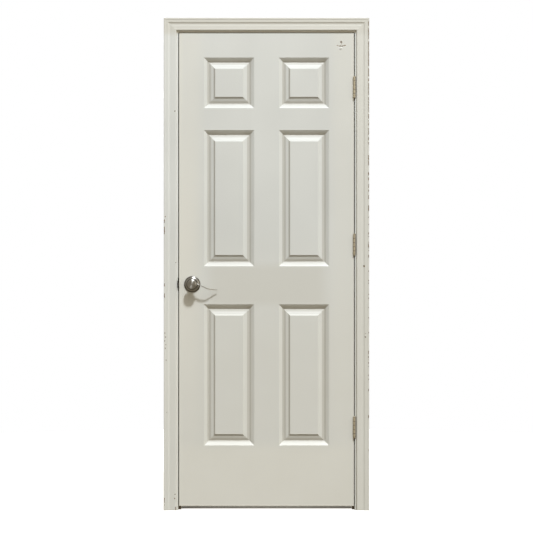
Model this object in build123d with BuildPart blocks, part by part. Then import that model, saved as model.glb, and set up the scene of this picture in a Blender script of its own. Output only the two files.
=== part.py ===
from build123d import *
import os

# A six-panel interior door hung in its frame, closed, seen from the side that it opens to.
# X runs across the doorway to the right, Y runs into the wall, Z is up, all in millimetres.
# The origin is on the floor, at the middle of the doorway, in the plane of the wall's face.

# Slab
door_width = 752.0
door_height = 2032.0
door_thickness = 35.0
undercut = 19.0
side_gap = 3.5
head_gap = 3.0
skin_thickness = 3.2
skin_arris = 0.8

# Face layout of the slab, with the middle panels taking the height that is left
panel_width = 215.5
mullion_face = 106.5
top_rail_face = 105.0
top_panel_height = 217.0
frieze_rail_face = 95.0
lock_rail_face = 164.0
bottom_panel_height = 606.0
bottom_rail_face = 260.0

# Moulding round each panel: ogee sticking, groove, bevel, shoulder and raised field
sticking_width = 19.5
sticking_lip = 0.8
groove_depth = 13.4
groove_flat = 1.5
bevel_width = 20.5
bevel_top_depth = 6.0
shoulder_width = 6.8
field_depth = 1.0
ogee_sagitta = 0.4

# Hidden framing of the slab
edge_stile_width = 28.0
end_rail_height = 30.0
lock_block_width = 76.0
lock_block_height = 500.0
core_strip_thickness = 6.0
core_strip_spacing = 42.0
core_margin = 8.0

# Torn hook mark at the slab's upper corner on the hinge side
mark_side_inset = 55.0
mark_hole_drop = 38.0
mark_hole_radius = 2.6
mark_crease_drop = 56.0
mark_crease_reach = 19.0
mark_crease_width = 3.4
mark_crease_depth = 1.6
mark_crease_rise = 4.0
mark_lip_drop = 65.0
mark_lip_radius = 9.0
mark_lip_height = 2.4

# Frame
jamb_thickness = 17.5
jamb_depth = 116.0
head_rabbet = 9.0
stop_thickness = 11.0
stop_width = 32.0
stop_clearance = 1.0
stop_round = 3.0
reveal = 7.0

# Casing profile: each flat's two ends, measured from the outer edge, and its height proud of the wall
casing_width = 54.5
casing_thickness = 12.0
casing_outer_round = 2.5
casing_bead_thickness = 9.8
casing_flats = (
    (50.0, 46.0, casing_bead_thickness),
    (43.5, 40.5, 9.3),
    (28.5, 27.0, 8.2),
    (18.0, 8.0, 11.0),
    (5.0, casing_outer_round, casing_thickness),
)
casing_inner_thickness = 5.5
casing_relief_depth = 1.5
casing_outer_bearing = 9.0
casing_inner_bearing = 15.0

# Nails, set below the surface
nail_radius = 0.8
nail_clearance = 0.05
nail_cover = 2.0
nail_end_margin = 90.0
casing_nail_length = 30.0
casing_nail_inset = 7.0
casing_leg_nails = 6
casing_head_nails = 4
stop_nail_length = 22.0
stop_leg_nails = 5
stop_head_nails = 3
head_nail_length = 45.0
head_nail_head_radius = 2.0
head_nail_head_height = 1.0
head_nail_depth_shares = (0.2, 0.5, 0.8)

# Hinges
hinge_height = 89.0
hinge_leaf_thickness = 2.2
hinge_leaf_depth = 28.0
hinge_leaf_corner = 6.0
hinge_barrel_radius = 5.4
hinge_axis_proud = 6.2
hinge_knuckles = 5
hinge_knuckle_gap = 0.3
hinge_pin_radius = 3.0
hinge_pin_fit = 0.02
hinge_running_fit = 0.06
hinge_pin_head_radius = 4.8
hinge_pin_head_height = 2.6
hinge_pin_head_round = 1.2
hinge_pin_tip = 3.0
hinge_pin_tip_round = 1.4
hinge_leaf_relief = 0.4
hinge_top_drop = 233.0
hinge_middle_drop = 909.0
hinge_bottom_rise = 338.0
hinge_screw_spread = 31.0
hinge_screw_depths = (10.0, 19.0, 10.0)

# Wood screws for the hinges, strike and latch faceplate
screw_radius = 2.0
screw_head_radius = 3.9
screw_head_height = 1.9
screw_clearance = 0.05
screw_slot_width = 1.0
screw_slot_depth = 1.1
screw_slot_reach = 2.3
hinge_door_screw_length = 22.0
hinge_frame_screw_length = 15.0
small_screw_length = 12.0

# Latch
latch_height = 953.0
backset = 57.0
cross_bore_radius = 27.0
edge_bore_clearance = 0.3
latch_case_radius = 11.9
latch_case_wall = 1.1
latch_case_overrun = 14.0
latch_plate_thickness = 2.4
latch_plate_width = 25.0
latch_plate_height = 57.0
latch_screw_spread = 22.0
bolt_width = 12.0
bolt_height = 14.0
bolt_throw = 12.5
bolt_body_length = 14.0
bolt_nose_share = 0.25
bolt_clearance = 0.4
tail_thickness = 2.0
tail_half_height = 8.9
tail_window_margin = 0.4
tail_end_length = 3.0
spring_wall = 1.0
spring_length = 6.0
spring_clearance = 0.3
cam_radius = 7.0
cam_width = 9.0
spindle_side = 8.0
spindle_clearance = 0.05
spindle_hole_radius = 7.5
spindle_insertion = 18.0

# Lever and rose, heights measured out from the slab's face
rose_radius = 34.5
rose_rim_height = 3.4
rose_height = 11.0
rose_wall = 1.6
rose_shoulder_radius = 24.0
rose_shoulder_height = 9.0
rose_hole_clearance = 0.4
plate_radius = 31.0
plate_thickness = 2.0
plate_hole_radius = 13.5
return_spring_radius = 18.0
return_spring_wire = 1.6
return_spring_arc = 120.0
through_screw_radius = 2.0
through_screw_spread = 20.0
through_screw_head_radius = 3.6
through_screw_head_height = 1.8
through_screw_clearance = 0.1
lever_neck_radius = 11.5
lever_neck_start = 4.0
lever_flare_start = 27.0
lever_hub_radius = 23.5
lever_hub_rim = 42.0
lever_front = 58.0
lever_hub_edge = 49.0
lever_reach = 108.0
lever_stand = 46.0
lever_root_height = 6.0
lever_tip_height = 3.2
lever_root_thickness = 8.5
lever_tip_thickness = 3.2
lever_round = 1.2
lever_line_shares = ((0.0, 0.02), (0.30, -0.02), (0.59, -0.165), (0.75, -0.205), (1.0, -0.218))
lever_bend_shares = ((0.0, 1.0), (0.28, 1.0), (0.56, 0.85), (0.76, 0.56), (1.0, 0.30))
set_screw_radius = 2.0
set_screw_length = 5.0
set_screw_clearance = 0.05
set_screw_place = 17.0

# Strike
strike_thickness = 1.6
strike_height = 57.0
strike_depth = 29.0
strike_lip_height = 30.0
strike_lip_bend = 5.2
strike_lip_angle = 62.0
strike_hole_clearance = 2.5
strike_pocket_depth = 13.5
strike_screw_spread = 21.0

# Cuts run past the faces that they open by this much
cut_overrun = 5.0

# Places worked out from the sizes above
slab_left = -door_width / 2
slab_right = door_width / 2
slab_bottom = undercut
slab_top = undercut + door_height
jamb_face = door_width / 2 + side_gap
jamb_back = jamb_face + jamb_thickness
head_face = slab_top + head_gap
head_back = head_face + jamb_thickness
casing_inner = jamb_face + reveal
casing_outer = casing_inner + casing_width
casing_head_inner = head_face + reveal
casing_head_outer = casing_head_inner + casing_width
slab_middle = door_thickness / 2
framing_span = (skin_thickness, door_thickness - skin_thickness)
stop_front = door_thickness + stop_clearance
stop_span = (stop_front, stop_front + stop_width)
field_inset = sticking_width + groove_flat + bevel_width + shoulder_width
hinge_axis_x = door_width / 2 + side_gap / 2
hinge_axis_y = -hinge_axis_proud
hinge_heights = {
    "top": slab_top - hinge_top_drop,
    "middle": slab_top - hinge_middle_drop,
    "bottom": slab_bottom + hinge_bottom_rise,
}
lock_x = slab_left + backset
lock_z = slab_bottom + latch_height
middle_panel_height = (
    door_height - top_rail_face - top_panel_height - frieze_rail_face
    - lock_rail_face - bottom_panel_height - bottom_rail_face
)
bottom_panel_base = slab_bottom + bottom_rail_face
middle_panel_base = bottom_panel_base + bottom_panel_height + lock_rail_face
top_panel_base = middle_panel_base + middle_panel_height + frieze_rail_face
panel_rows = (
    (bottom_panel_base, bottom_panel_height),
    (middle_panel_base, middle_panel_height),
    (top_panel_base, top_panel_height),
)
panel_columns = (-(mullion_face + panel_width) / 2, (mullion_face + panel_width) / 2)
slab_mid_plane = Plane.XZ.offset(-slab_middle)
skin_cut = (-cut_overrun, skin_thickness + cut_overrun)
slab_cut = (-cut_overrun, door_thickness + cut_overrun)
jamb_cut = (-cut_overrun, jamb_depth + cut_overrun)

os.makedirs("parts", exist_ok=True)


def write(builder, name):
    """Label a finished piece and write it as its own file."""
    builder.part.label = name
    export_step(builder.part, f"parts/{name}.step")


def block(x_span, y_span, z_span, mode=Mode.ADD):
    """Box between two places along each axis."""
    spans = (x_span, y_span, z_span)
    middle = [(low + high) / 2 for low, high in spans]
    length, width, height = [abs(high - low) for low, high in spans]
    with Locations(tuple(middle)):
        Box(length, width, height, mode=mode)


def rod_x(radius, x_span, y, z, mode=Mode.ADD):
    """Round bar along X between two places."""
    with Locations((sum(x_span) / 2, y, z)):
        Cylinder(radius, abs(x_span[1] - x_span[0]), rotation=(0, 90, 0), mode=mode)


def rod_y(radius, x, y_span, z, mode=Mode.ADD):
    """Round bar along Y between two places."""
    with Locations((x, sum(y_span) / 2, z)):
        Cylinder(radius, abs(y_span[1] - y_span[0]), rotation=(90, 0, 0), mode=mode)


def rod_z(radius, x, y, z_span, mode=Mode.ADD):
    """Upright round bar between two places."""
    with Locations((x, y, sum(z_span) / 2)):
        Cylinder(radius, abs(z_span[1] - z_span[0]), mode=mode)


def spread(low, high, count):
    """Evenly spaced places from one end of a stretch to the other."""
    return [low + (high - low) * index / (count - 1) for index in range(count)]


def about(middle, size):
    """Span of a size about its middle."""
    return (middle - size / 2, middle + size / 2)


# Wood screws: head flush at a face, point along plus or minus X


def screw_x(face_x, y, z, length, way):
    """Countersunk screw with a crossed slot, driven along X."""
    tip_x = face_x + way * length
    neck_x = face_x + way * screw_head_height
    rod_x(screw_radius, (face_x, tip_x), y, z)
    with Locations(((face_x + neck_x) / 2, y, z)):
        Cone(screw_head_radius, screw_radius, screw_head_height, rotation=(0, way * 90, 0))
    slot_span = (face_x, face_x + way * screw_slot_depth)
    reach_span = about(0, screw_slot_reach * 2)
    width_span = about(0, screw_slot_width)
    for y_part, z_part in ((reach_span, width_span), (width_span, reach_span)):
        y_slot = (y + y_part[0], y + y_part[1])
        z_slot = (z + z_part[0], z + z_part[1])
        block(slot_span, y_slot, z_slot, mode=Mode.SUBTRACT)


def screw_hole_x(face_x, y, z, length, way):
    """Clearance hole and countersink for the same screw."""
    tip_x = face_x + way * (length + screw_clearance)
    rod_x(screw_radius + screw_clearance, (face_x, tip_x), y, z, mode=Mode.SUBTRACT)
    with Locations((face_x + way * screw_head_height / 2, y, z)):
        Cone(
            screw_head_radius + screw_clearance,
            screw_radius + screw_clearance,
            screw_head_height,
            rotation=(0, way * 90, 0),
            mode=Mode.SUBTRACT,
        )


def hinge_screw_places(height):
    """Depth and height of the three screws of a hinge leaf."""
    heights = spread(height - hinge_screw_spread, height + hinge_screw_spread, len(hinge_screw_depths))
    return list(zip(hinge_screw_depths, heights))


def latch_screw_heights(screw_spread):
    """Heights of the two screws above and below the latch."""
    return (lock_z - screw_spread, lock_z + screw_spread)


# Slab skins


def moulding_section(plane):
    """Section of the moulded skin from a panel's edge to its raised field."""
    half_drop = groove_depth / 2
    groove_start = sticking_width
    groove_end = groove_start + groove_flat
    bevel_end = groove_end + bevel_width
    turn = sticking_width / 2
    with BuildSketch(plane) as section:
        with BuildLine():
            SagittaArc((0, sticking_lip), (turn, half_drop), -ogee_sagitta)
            SagittaArc((turn, half_drop), (groove_start, groove_depth), ogee_sagitta)
            Polyline(
                (groove_start, groove_depth),
                (groove_end, groove_depth),
                (bevel_end, bevel_top_depth),
                (field_inset, field_depth),
                (field_inset, field_depth + skin_thickness),
                (bevel_end, bevel_top_depth + skin_thickness),
                (groove_end, groove_depth + skin_thickness),
                (groove_start, groove_depth + skin_thickness),
                (0, skin_thickness),
                (0, sticking_lip),
            )
        make_face()
    return section.sketch


def panel_path(middle_x, base, height):
    """Closed path round a panel's edge that starts at the middle of its left side."""
    left = middle_x - panel_width / 2
    right = middle_x + panel_width / 2
    top = base + height
    corners = [
        (left, 0, base + height / 2), (left, 0, top), (right, 0, top), (right, 0, base), (left, 0, base),
    ]
    with BuildLine() as path:
        Polyline(*corners, close=True)
    return path.wire()


with BuildPart() as plain_skin:
    with BuildSketch(Plane.XZ) as sheet:
        with Locations((0, slab_bottom + door_height / 2)):
            Rectangle(door_width, door_height)
        for column in panel_columns:
            for row_base, row_height in panel_rows:
                with Locations((column, row_base + row_height / 2)):
                    Rectangle(panel_width, row_height, mode=Mode.SUBTRACT)
    extrude(amount=-skin_thickness)
    rim = plain_skin.faces().sort_by(Axis.Y)[0].outer_wire().edges()
    chamfer(rim, skin_arris)
    for column in panel_columns:
        for row_base, row_height in panel_rows:
            start = Plane((column - panel_width / 2, 0, row_base + row_height / 2), x_dir=(1, 0, 0))
            ring = moulding_section(start)
            sweep(ring, path=panel_path(column, row_base, row_height), transition=Transition.RIGHT)
            with BuildSketch(Plane.XZ.offset(-field_depth)):
                with Locations((column, row_base + row_height / 2)):
                    Rectangle(panel_width - 2 * field_inset, row_height - 2 * field_inset)
            extrude(amount=-skin_thickness)
    rod_y(cross_bore_radius, lock_x, skin_cut, lock_z, mode=Mode.SUBTRACT)

mark_x = slab_right - mark_side_inset
with BuildPart() as front_skin:
    add(plain_skin.part)
    for hinge_z in hinge_heights.values():
        mortise_x = (slab_right - hinge_leaf_thickness, slab_right + cut_overrun)
        block(mortise_x, skin_cut, about(hinge_z, hinge_height), mode=Mode.SUBTRACT)
    lip_curve = (mark_lip_radius**2 + mark_lip_height**2) / (2 * mark_lip_height)
    with BuildSketch(Plane.XY.offset(slab_top - mark_lip_drop)):
        with BuildLine():
            lip_back = (mark_x, skin_thickness)
            lip_crown = (mark_x, -mark_lip_height)
            lip_edge = (mark_x + mark_lip_radius, 0)
            RadiusArc(lip_crown, lip_edge, lip_curve)
            Polyline(lip_edge, (mark_x + mark_lip_radius, skin_thickness), lip_back, lip_crown)
        make_face()
    revolve(axis=Axis((mark_x, 0, slab_top - mark_lip_drop), (0, 1, 0)))
    rod_y(mark_hole_radius, mark_x, skin_cut, slab_top - mark_hole_drop, mode=Mode.SUBTRACT)
    crease_z = slab_top - mark_crease_drop
    with BuildSketch(Plane.XZ.offset(mark_lip_height)):
        for side in (-1, 1):
            with BuildLine():
                Polyline(
                    (mark_x, crease_z),
                    (mark_x + side * mark_crease_reach, crease_z + mark_crease_rise),
                    (mark_x, crease_z - mark_crease_width),
                    close=True,
                )
            make_face()
    extrude(amount=-(mark_crease_depth + mark_lip_height), mode=Mode.SUBTRACT)
write(front_skin, "front_skin")

with BuildPart() as rear_skin:
    mirror(plain_skin.part, about=slab_mid_plane)
write(rear_skin, "rear_skin")

# Slab framing behind the skins

with BuildPart() as hinge_stile:
    block((slab_right - edge_stile_width, slab_right), framing_span, (slab_bottom, slab_top))
    for hinge_z in hinge_heights.values():
        mortise_x = (slab_right - hinge_leaf_thickness, slab_right + cut_overrun)
        block(mortise_x, (-cut_overrun, hinge_leaf_depth), about(hinge_z, hinge_height), mode=Mode.SUBTRACT)
        for screw_y, screw_z in hinge_screw_places(hinge_z):
            screw_hole_x(slab_right, screw_y, screw_z, hinge_door_screw_length, -1)
write(hinge_stile, "hinge_stile")

edge_bore_radius = latch_case_radius + edge_bore_clearance
bore_span = (slab_left - cut_overrun, lock_x)
latch_plate_face = slab_left + latch_plate_thickness
with BuildPart() as lock_stile:
    block((slab_left, slab_left + edge_stile_width), framing_span, (slab_bottom, slab_top))
    plate_y = about(slab_middle, latch_plate_width)
    plate_z = about(lock_z, latch_plate_height)
    block((slab_left - cut_overrun, latch_plate_face), plate_y, plate_z, mode=Mode.SUBTRACT)
    rod_x(edge_bore_radius, bore_span, slab_middle, lock_z, mode=Mode.SUBTRACT)
    for screw_z in latch_screw_heights(latch_screw_spread):
        screw_hole_x(slab_left, slab_middle, screw_z, small_screw_length, 1)
write(lock_stile, "lock_stile")

lock_block_left = slab_left + edge_stile_width
with BuildPart() as lock_block:
    lock_block_span = (lock_block_left, lock_block_left + lock_block_width)
    block(lock_block_span, framing_span, about(lock_z, lock_block_height))
    rod_x(edge_bore_radius, bore_span, slab_middle, lock_z, mode=Mode.SUBTRACT)
    rod_y(cross_bore_radius, lock_x, slab_cut, lock_z, mode=Mode.SUBTRACT)
write(lock_block, "lock_block")

rail_span = (slab_left + edge_stile_width, slab_right - edge_stile_width)
with BuildPart() as top_rail:
    block(rail_span, framing_span, (slab_top - end_rail_height, slab_top))
write(top_rail, "top_rail")

with BuildPart() as bottom_rail:
    block(rail_span, framing_span, (slab_bottom, slab_bottom + end_rail_height))
write(bottom_rail, "bottom_rail")

rail_gaps = (
    (slab_bottom + end_rail_height, bottom_panel_base),
    (bottom_panel_base + bottom_panel_height, middle_panel_base),
    (middle_panel_base + middle_panel_height, top_panel_base),
    (top_panel_base + top_panel_height, slab_top - end_rail_height),
)
with BuildPart() as core_strips:
    for low, high in rail_gaps:
        for column in panel_columns:
            for place in (-core_strip_spacing, 0, core_strip_spacing):
                strip_x = about(column + place, core_strip_thickness)
                block(strip_x, framing_span, (low + core_margin, high - core_margin))
    for side in (-1, 1):
        strip_x = about(side * core_strip_spacing / 2, core_strip_thickness)
        block(strip_x, framing_span, (rail_gaps[0][1], rail_gaps[-1][0]))
write(core_strips, "core_strips")

# Frame: jambs and stops

with BuildPart() as hinge_jamb:
    block((jamb_face, jamb_back), (0, jamb_depth), (0, head_back))
    rabbet_x = (jamb_face - cut_overrun, jamb_face + head_rabbet)
    block(rabbet_x, jamb_cut, (head_face, head_back + cut_overrun), mode=Mode.SUBTRACT)
    for hinge_z in hinge_heights.values():
        mortise_x = (jamb_face - cut_overrun, jamb_face + hinge_leaf_thickness)
        block(mortise_x, (-cut_overrun, hinge_leaf_depth), about(hinge_z, hinge_height), mode=Mode.SUBTRACT)
        for screw_y, screw_z in hinge_screw_places(hinge_z):
            screw_hole_x(jamb_face, screw_y, screw_z, hinge_frame_screw_length, 1)

strike_back = -jamb_face - strike_thickness
with BuildPart() as strike_jamb:
    block((-jamb_back, -jamb_face), (0, jamb_depth), (0, head_back))
    rabbet_x = (-jamb_face - head_rabbet, -jamb_face + cut_overrun)
    block(rabbet_x, jamb_cut, (head_face, head_back + cut_overrun), mode=Mode.SUBTRACT)
    plate_x = (strike_back, -jamb_face + cut_overrun)
    block(plate_x, (-cut_overrun, strike_depth), about(lock_z, strike_height), mode=Mode.SUBTRACT)
    pocket_x = (-jamb_face - strike_pocket_depth, -jamb_face)
    pocket_y = about(slab_middle, bolt_width + 2 * strike_hole_clearance)
    pocket_z = about(lock_z, bolt_height + 2 * strike_hole_clearance)
    block(pocket_x, pocket_y, pocket_z, mode=Mode.SUBTRACT)
    for screw_z in latch_screw_heights(strike_screw_spread):
        screw_hole_x(-jamb_face, slab_middle, screw_z, small_screw_length, -1)

head_half = jamb_face + head_rabbet
with BuildPart() as head_jamb:
    block((-head_half, head_half), (0, jamb_depth), (head_face, head_back))

side_stop_top = head_face - stop_thickness
with BuildPart() as hinge_stop:
    block((jamb_face - stop_thickness, jamb_face), stop_span, (0, side_stop_top))
    fillet(hinge_stop.edges().filter_by(Axis.Z).group_by(Axis.X)[0], stop_round)

with BuildPart() as strike_stop:
    block((-jamb_face, stop_thickness - jamb_face), stop_span, (0, side_stop_top))
    fillet(strike_stop.edges().filter_by(Axis.Z).group_by(Axis.X)[-1], stop_round)

with BuildPart() as head_stop:
    block((-jamb_face, jamb_face), stop_span, (side_stop_top, head_face))
    fillet(head_stop.edges().filter_by(Axis.X).group_by(Axis.Z)[0], stop_round)

# Casing: the profile is drawn from the inner edge outwards, then each length is mitred


def casing_section(plane):
    """Colonial casing section with a relieved back; the inner edge is at the plane's origin."""
    relief_outer = casing_width - casing_outer_bearing
    with BuildSketch(plane) as section:
        with BuildLine():
            last, lean = Line((0, 0), (0, casing_inner_thickness)), (0, 1)
            for inner_place, outer_place, thickness in casing_flats:
                curve = TangentArc(last @ 1, (casing_width - inner_place, thickness), tangent=lean)
                last, lean = Line(curve @ 1, (casing_width - outer_place, thickness)), (1, 0)
            RadiusArc(last @ 1, (casing_width, casing_thickness - casing_outer_round), casing_outer_round)
            Polyline(
                (casing_width, casing_thickness - casing_outer_round),
                (casing_width, 0),
                (relief_outer, 0),
                (relief_outer, casing_relief_depth),
                (casing_inner_bearing, casing_relief_depth),
                (casing_inner_bearing, 0),
                (0, 0),
            )
        make_face()
    return section.sketch


def mitre(x, direction):
    """Plane at 45 degrees through the inner corner of the casing."""
    return Plane((x, 0, casing_head_inner), x_dir=(0, 1, 0), z_dir=direction)


leg_nail_heights = spread(nail_end_margin, head_face - nail_end_margin, casing_leg_nails)
head_nail_places = spread(nail_end_margin - jamb_face, jamb_face - nail_end_margin, casing_head_nails)
casing_nail_front = nail_cover - casing_bead_thickness
casing_nail_span = (casing_nail_front, casing_nail_front + casing_nail_length)
casing_nail_x = casing_inner + casing_nail_inset
casing_nail_z = casing_head_inner + casing_nail_inset
nail_hole_radius = nail_radius + nail_clearance


def casing_nail_row(x_places, z_places, radius, mode):
    """Nails, or their holes, through the casing into the jambs' front edges."""
    for x in x_places:
        for z in z_places:
            rod_y(radius, x, casing_nail_span, z, mode=mode)


def casing_leg(side):
    """One upright length of casing."""
    with BuildPart() as leg:
        corner = Plane((side * casing_inner, 0, 0), x_dir=(side, 0, 0), z_dir=(0, 0, -side))
        extrude(casing_section(corner), amount=-side * casing_head_outer)
        split(bisect_by=mitre(side * casing_inner, (side, 0, -1)), keep=Keep.TOP)
        casing_nail_row((side * casing_nail_x,), leg_nail_heights, nail_hole_radius, Mode.SUBTRACT)
    return leg


hinge_casing = casing_leg(1)
strike_casing = casing_leg(-1)
write(hinge_casing, "hinge_casing")
write(strike_casing, "strike_casing")

with BuildPart() as head_casing:
    end_plane = Plane((-casing_outer, 0, casing_head_inner), x_dir=(0, 0, 1), z_dir=(1, 0, 0))
    extrude(casing_section(end_plane), amount=2 * casing_outer)
    split(bisect_by=mitre(casing_inner, (-1, 0, 1)), keep=Keep.TOP)
    split(bisect_by=mitre(-casing_inner, (1, 0, 1)), keep=Keep.TOP)
    casing_nail_row(head_nail_places, (casing_nail_z,), nail_hole_radius, Mode.SUBTRACT)
write(head_casing, "head_casing")

with BuildPart() as casing_nails:
    casing_nail_row((-casing_nail_x, casing_nail_x), leg_nail_heights, nail_radius, Mode.ADD)
    casing_nail_row(head_nail_places, (casing_nail_z,), nail_radius, Mode.ADD)
write(casing_nails, "casing_nails")

# Nails of the stops and of the head joints

stop_nail_y = stop_front + stop_width / 2
stop_nail_start = jamb_face - stop_thickness + nail_cover
stop_nail_top = head_face - stop_thickness + nail_cover
stop_nail_heights = spread(nail_end_margin, side_stop_top - nail_end_margin, stop_leg_nails)
stop_nail_places = spread(nail_end_margin - jamb_face, jamb_face - nail_end_margin, stop_head_nails)


def side_stop_nails(side, radius, mode):
    """Nails, or their holes, through one side stop."""
    span = (side * stop_nail_start, side * (stop_nail_start + stop_nail_length))
    for z in stop_nail_heights:
        rod_x(radius, span, stop_nail_y, z, mode=mode)


def head_stop_nails(radius, mode):
    """Nails, or their holes, up through the head stop."""
    span = (stop_nail_top, stop_nail_top + stop_nail_length)
    for x in stop_nail_places:
        rod_z(radius, x, stop_nail_y, span, mode=mode)


def head_joint_nails(side, clearance, mode):
    """Nails, or their holes, through one side jamb into the end of the head."""
    shank = (side * jamb_back, side * (jamb_back - head_nail_length))
    cap = (side * jamb_back, side * (jamb_back - head_nail_head_height))
    for depth_share in head_nail_depth_shares:
        nail_y = depth_share * jamb_depth
        nail_z = head_face + jamb_thickness / 2
        rod_x(nail_radius + clearance, shank, nail_y, nail_z, mode=mode)
        rod_x(head_nail_head_radius + clearance, cap, nail_y, nail_z, mode=mode)


for side, jamb, stop in ((1, hinge_jamb, hinge_stop), (-1, strike_jamb, strike_stop)):
    with jamb:
        side_stop_nails(side, nail_hole_radius, Mode.SUBTRACT)
        head_joint_nails(side, nail_clearance, Mode.SUBTRACT)
        casing_nail_row((side * casing_nail_x,), leg_nail_heights, nail_hole_radius, Mode.SUBTRACT)
    with stop:
        side_stop_nails(side, nail_hole_radius, Mode.SUBTRACT)
with head_jamb:
    head_stop_nails(nail_hole_radius, Mode.SUBTRACT)
    casing_nail_row(head_nail_places, (casing_nail_z,), nail_hole_radius, Mode.SUBTRACT)
    for side in (-1, 1):
        head_joint_nails(side, nail_clearance, Mode.SUBTRACT)
with head_stop:
    head_stop_nails(nail_hole_radius, Mode.SUBTRACT)

write(hinge_jamb, "hinge_jamb")
write(strike_jamb, "strike_jamb")
write(head_jamb, "head_jamb")
write(hinge_stop, "hinge_stop")
write(strike_stop, "strike_stop")
write(head_stop, "head_stop")

with BuildPart() as stop_nails:
    for side in (-1, 1):
        side_stop_nails(side, nail_radius, Mode.ADD)
    head_stop_nails(nail_radius, Mode.ADD)
write(stop_nails, "stop_nails")

with BuildPart() as head_nails:
    for side in (-1, 1):
        head_joint_nails(side, 0, Mode.ADD)
write(head_nails, "head_nails")

# Hinges: the frame leaf has the outer and middle knuckles, the door leaf the two between

knuckle_height = hinge_height / hinge_knuckles
leaf_reach = (hinge_barrel_radius**2 - (side_gap / 2) ** 2) ** 0.5 - hinge_axis_proud + hinge_leaf_relief


def hinge_leaf(height, side, first_knuckle, shortening, pin_fit):
    """One leaf of a butt hinge, let in flush, with its own knuckles round the pin."""
    low = height - hinge_height / 2
    face = hinge_axis_x + side * side_gap / 2
    plate_span = (face, face + side * hinge_leaf_thickness)
    with BuildPart() as leaf:
        block(plate_span, (leaf_reach, hinge_leaf_depth), about(height, hinge_height))
        corners = leaf.edges().filter_by(Axis.X).group_by(Axis.Y)[-1]
        fillet(corners, hinge_leaf_corner)
        for index in range(first_knuckle, hinge_knuckles, 2):
            knuckle_low = low + index * knuckle_height
            span = (knuckle_low + shortening, knuckle_low + knuckle_height - shortening)
            rod_z(hinge_barrel_radius, hinge_axis_x, hinge_axis_y, span)
            block(plate_span, (hinge_axis_y, leaf_reach), span)
        bore = (low - cut_overrun, low + hinge_height + cut_overrun)
        rod_z(hinge_pin_radius + pin_fit, hinge_axis_x, hinge_axis_y, bore, mode=Mode.SUBTRACT)
        length = hinge_frame_screw_length if side > 0 else hinge_door_screw_length
        for screw_y, screw_z in hinge_screw_places(height):
            screw_hole_x(face, screw_y, screw_z, length, side)
    return leaf


def hinge_pin(height):
    """Pin with a button head on the barrel and a rounded tip below it."""
    low = height - hinge_height / 2
    high = height + hinge_height / 2
    with BuildPart() as pin:
        rod_z(hinge_pin_radius, hinge_axis_x, hinge_axis_y, (low - hinge_pin_tip, high))
        fillet(pin.faces().sort_by(Axis.Z)[0].edges(), hinge_pin_tip_round)
        rod_z(hinge_pin_head_radius, hinge_axis_x, hinge_axis_y, (high, high + hinge_pin_head_height))
        fillet(pin.faces().sort_by(Axis.Z)[-1].edges(), hinge_pin_head_round)
    return pin


for place, hinge_z in hinge_heights.items():
    write(hinge_leaf(hinge_z, 1, 0, 0, hinge_pin_fit), f"hinge_{place}_frame_leaf")
    write(hinge_leaf(hinge_z, -1, 1, hinge_knuckle_gap, hinge_running_fit), f"hinge_{place}_door_leaf")
    write(hinge_pin(hinge_z), f"hinge_{place}_pin")

with BuildPart() as hinge_frame_screws:
    for hinge_z in hinge_heights.values():
        for screw_y, screw_z in hinge_screw_places(hinge_z):
            screw_x(jamb_face, screw_y, screw_z, hinge_frame_screw_length, 1)
write(hinge_frame_screws, "hinge_frame_screws")

with BuildPart() as hinge_door_screws:
    for hinge_z in hinge_heights.values():
        for screw_y, screw_z in hinge_screw_places(hinge_z):
            screw_x(slab_right, screw_y, screw_z, hinge_door_screw_length, -1)
write(hinge_door_screws, "hinge_door_screws")

# Strike plate with a curved lip past the jamb's front edge

with BuildPart() as strike_plate:
    block((strike_back, -jamb_face), (0, strike_depth), about(lock_z, strike_height))
    lip_centre = (-jamb_face - strike_lip_bend, 0)
    with BuildSketch(Plane.XY.offset(lock_z - strike_lip_height / 2)):
        with BuildLine():
            outer = CenterArc(lip_centre, strike_lip_bend, 0, -strike_lip_angle)
            inner = CenterArc(lip_centre, strike_lip_bend - strike_thickness, 0, -strike_lip_angle)
            Line(outer @ 0, inner @ 0)
            Line(outer @ 1, inner @ 1)
        make_face()
    extrude(amount=strike_lip_height)
    block((strike_back - cut_overrun, cut_overrun - jamb_face), pocket_y, pocket_z, mode=Mode.SUBTRACT)
    for screw_z in latch_screw_heights(strike_screw_spread):
        screw_hole_x(-jamb_face, slab_middle, screw_z, small_screw_length, -1)
write(strike_plate, "strike_plate")

with BuildPart() as strike_screws:
    for screw_z in latch_screw_heights(strike_screw_spread):
        screw_x(-jamb_face, slab_middle, screw_z, small_screw_length, -1)
write(strike_screws, "strike_screws")

# Tubular latch

with BuildPart() as latch_faceplate:
    block((slab_left, latch_plate_face), plate_y, plate_z)
    bolt_opening_y = about(slab_middle, bolt_width + 2 * bolt_clearance)
    bolt_opening_z = about(lock_z, bolt_height + 2 * bolt_clearance)
    opening_x = (slab_left - cut_overrun, latch_plate_face + cut_overrun)
    block(opening_x, bolt_opening_y, bolt_opening_z, mode=Mode.SUBTRACT)
    for screw_z in latch_screw_heights(latch_screw_spread):
        screw_hole_x(slab_left, slab_middle, screw_z, small_screw_length, 1)
write(latch_faceplate, "latch_faceplate")

with BuildPart() as latch_screws:
    for screw_z in latch_screw_heights(latch_screw_spread):
        screw_x(slab_left, slab_middle, screw_z, small_screw_length, 1)
write(latch_screws, "latch_screws")

case_span = (latch_plate_face, lock_x + latch_case_overrun)
case_bore = latch_case_radius - latch_case_wall
with BuildPart() as latch_case:
    rod_x(latch_case_radius, case_span, slab_middle, lock_z)
    rod_x(case_bore, case_span, slab_middle, lock_z, mode=Mode.SUBTRACT)
    rod_y(spindle_hole_radius, lock_x, slab_cut, lock_z, mode=Mode.SUBTRACT)
write(latch_case, "latch_case")

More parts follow.
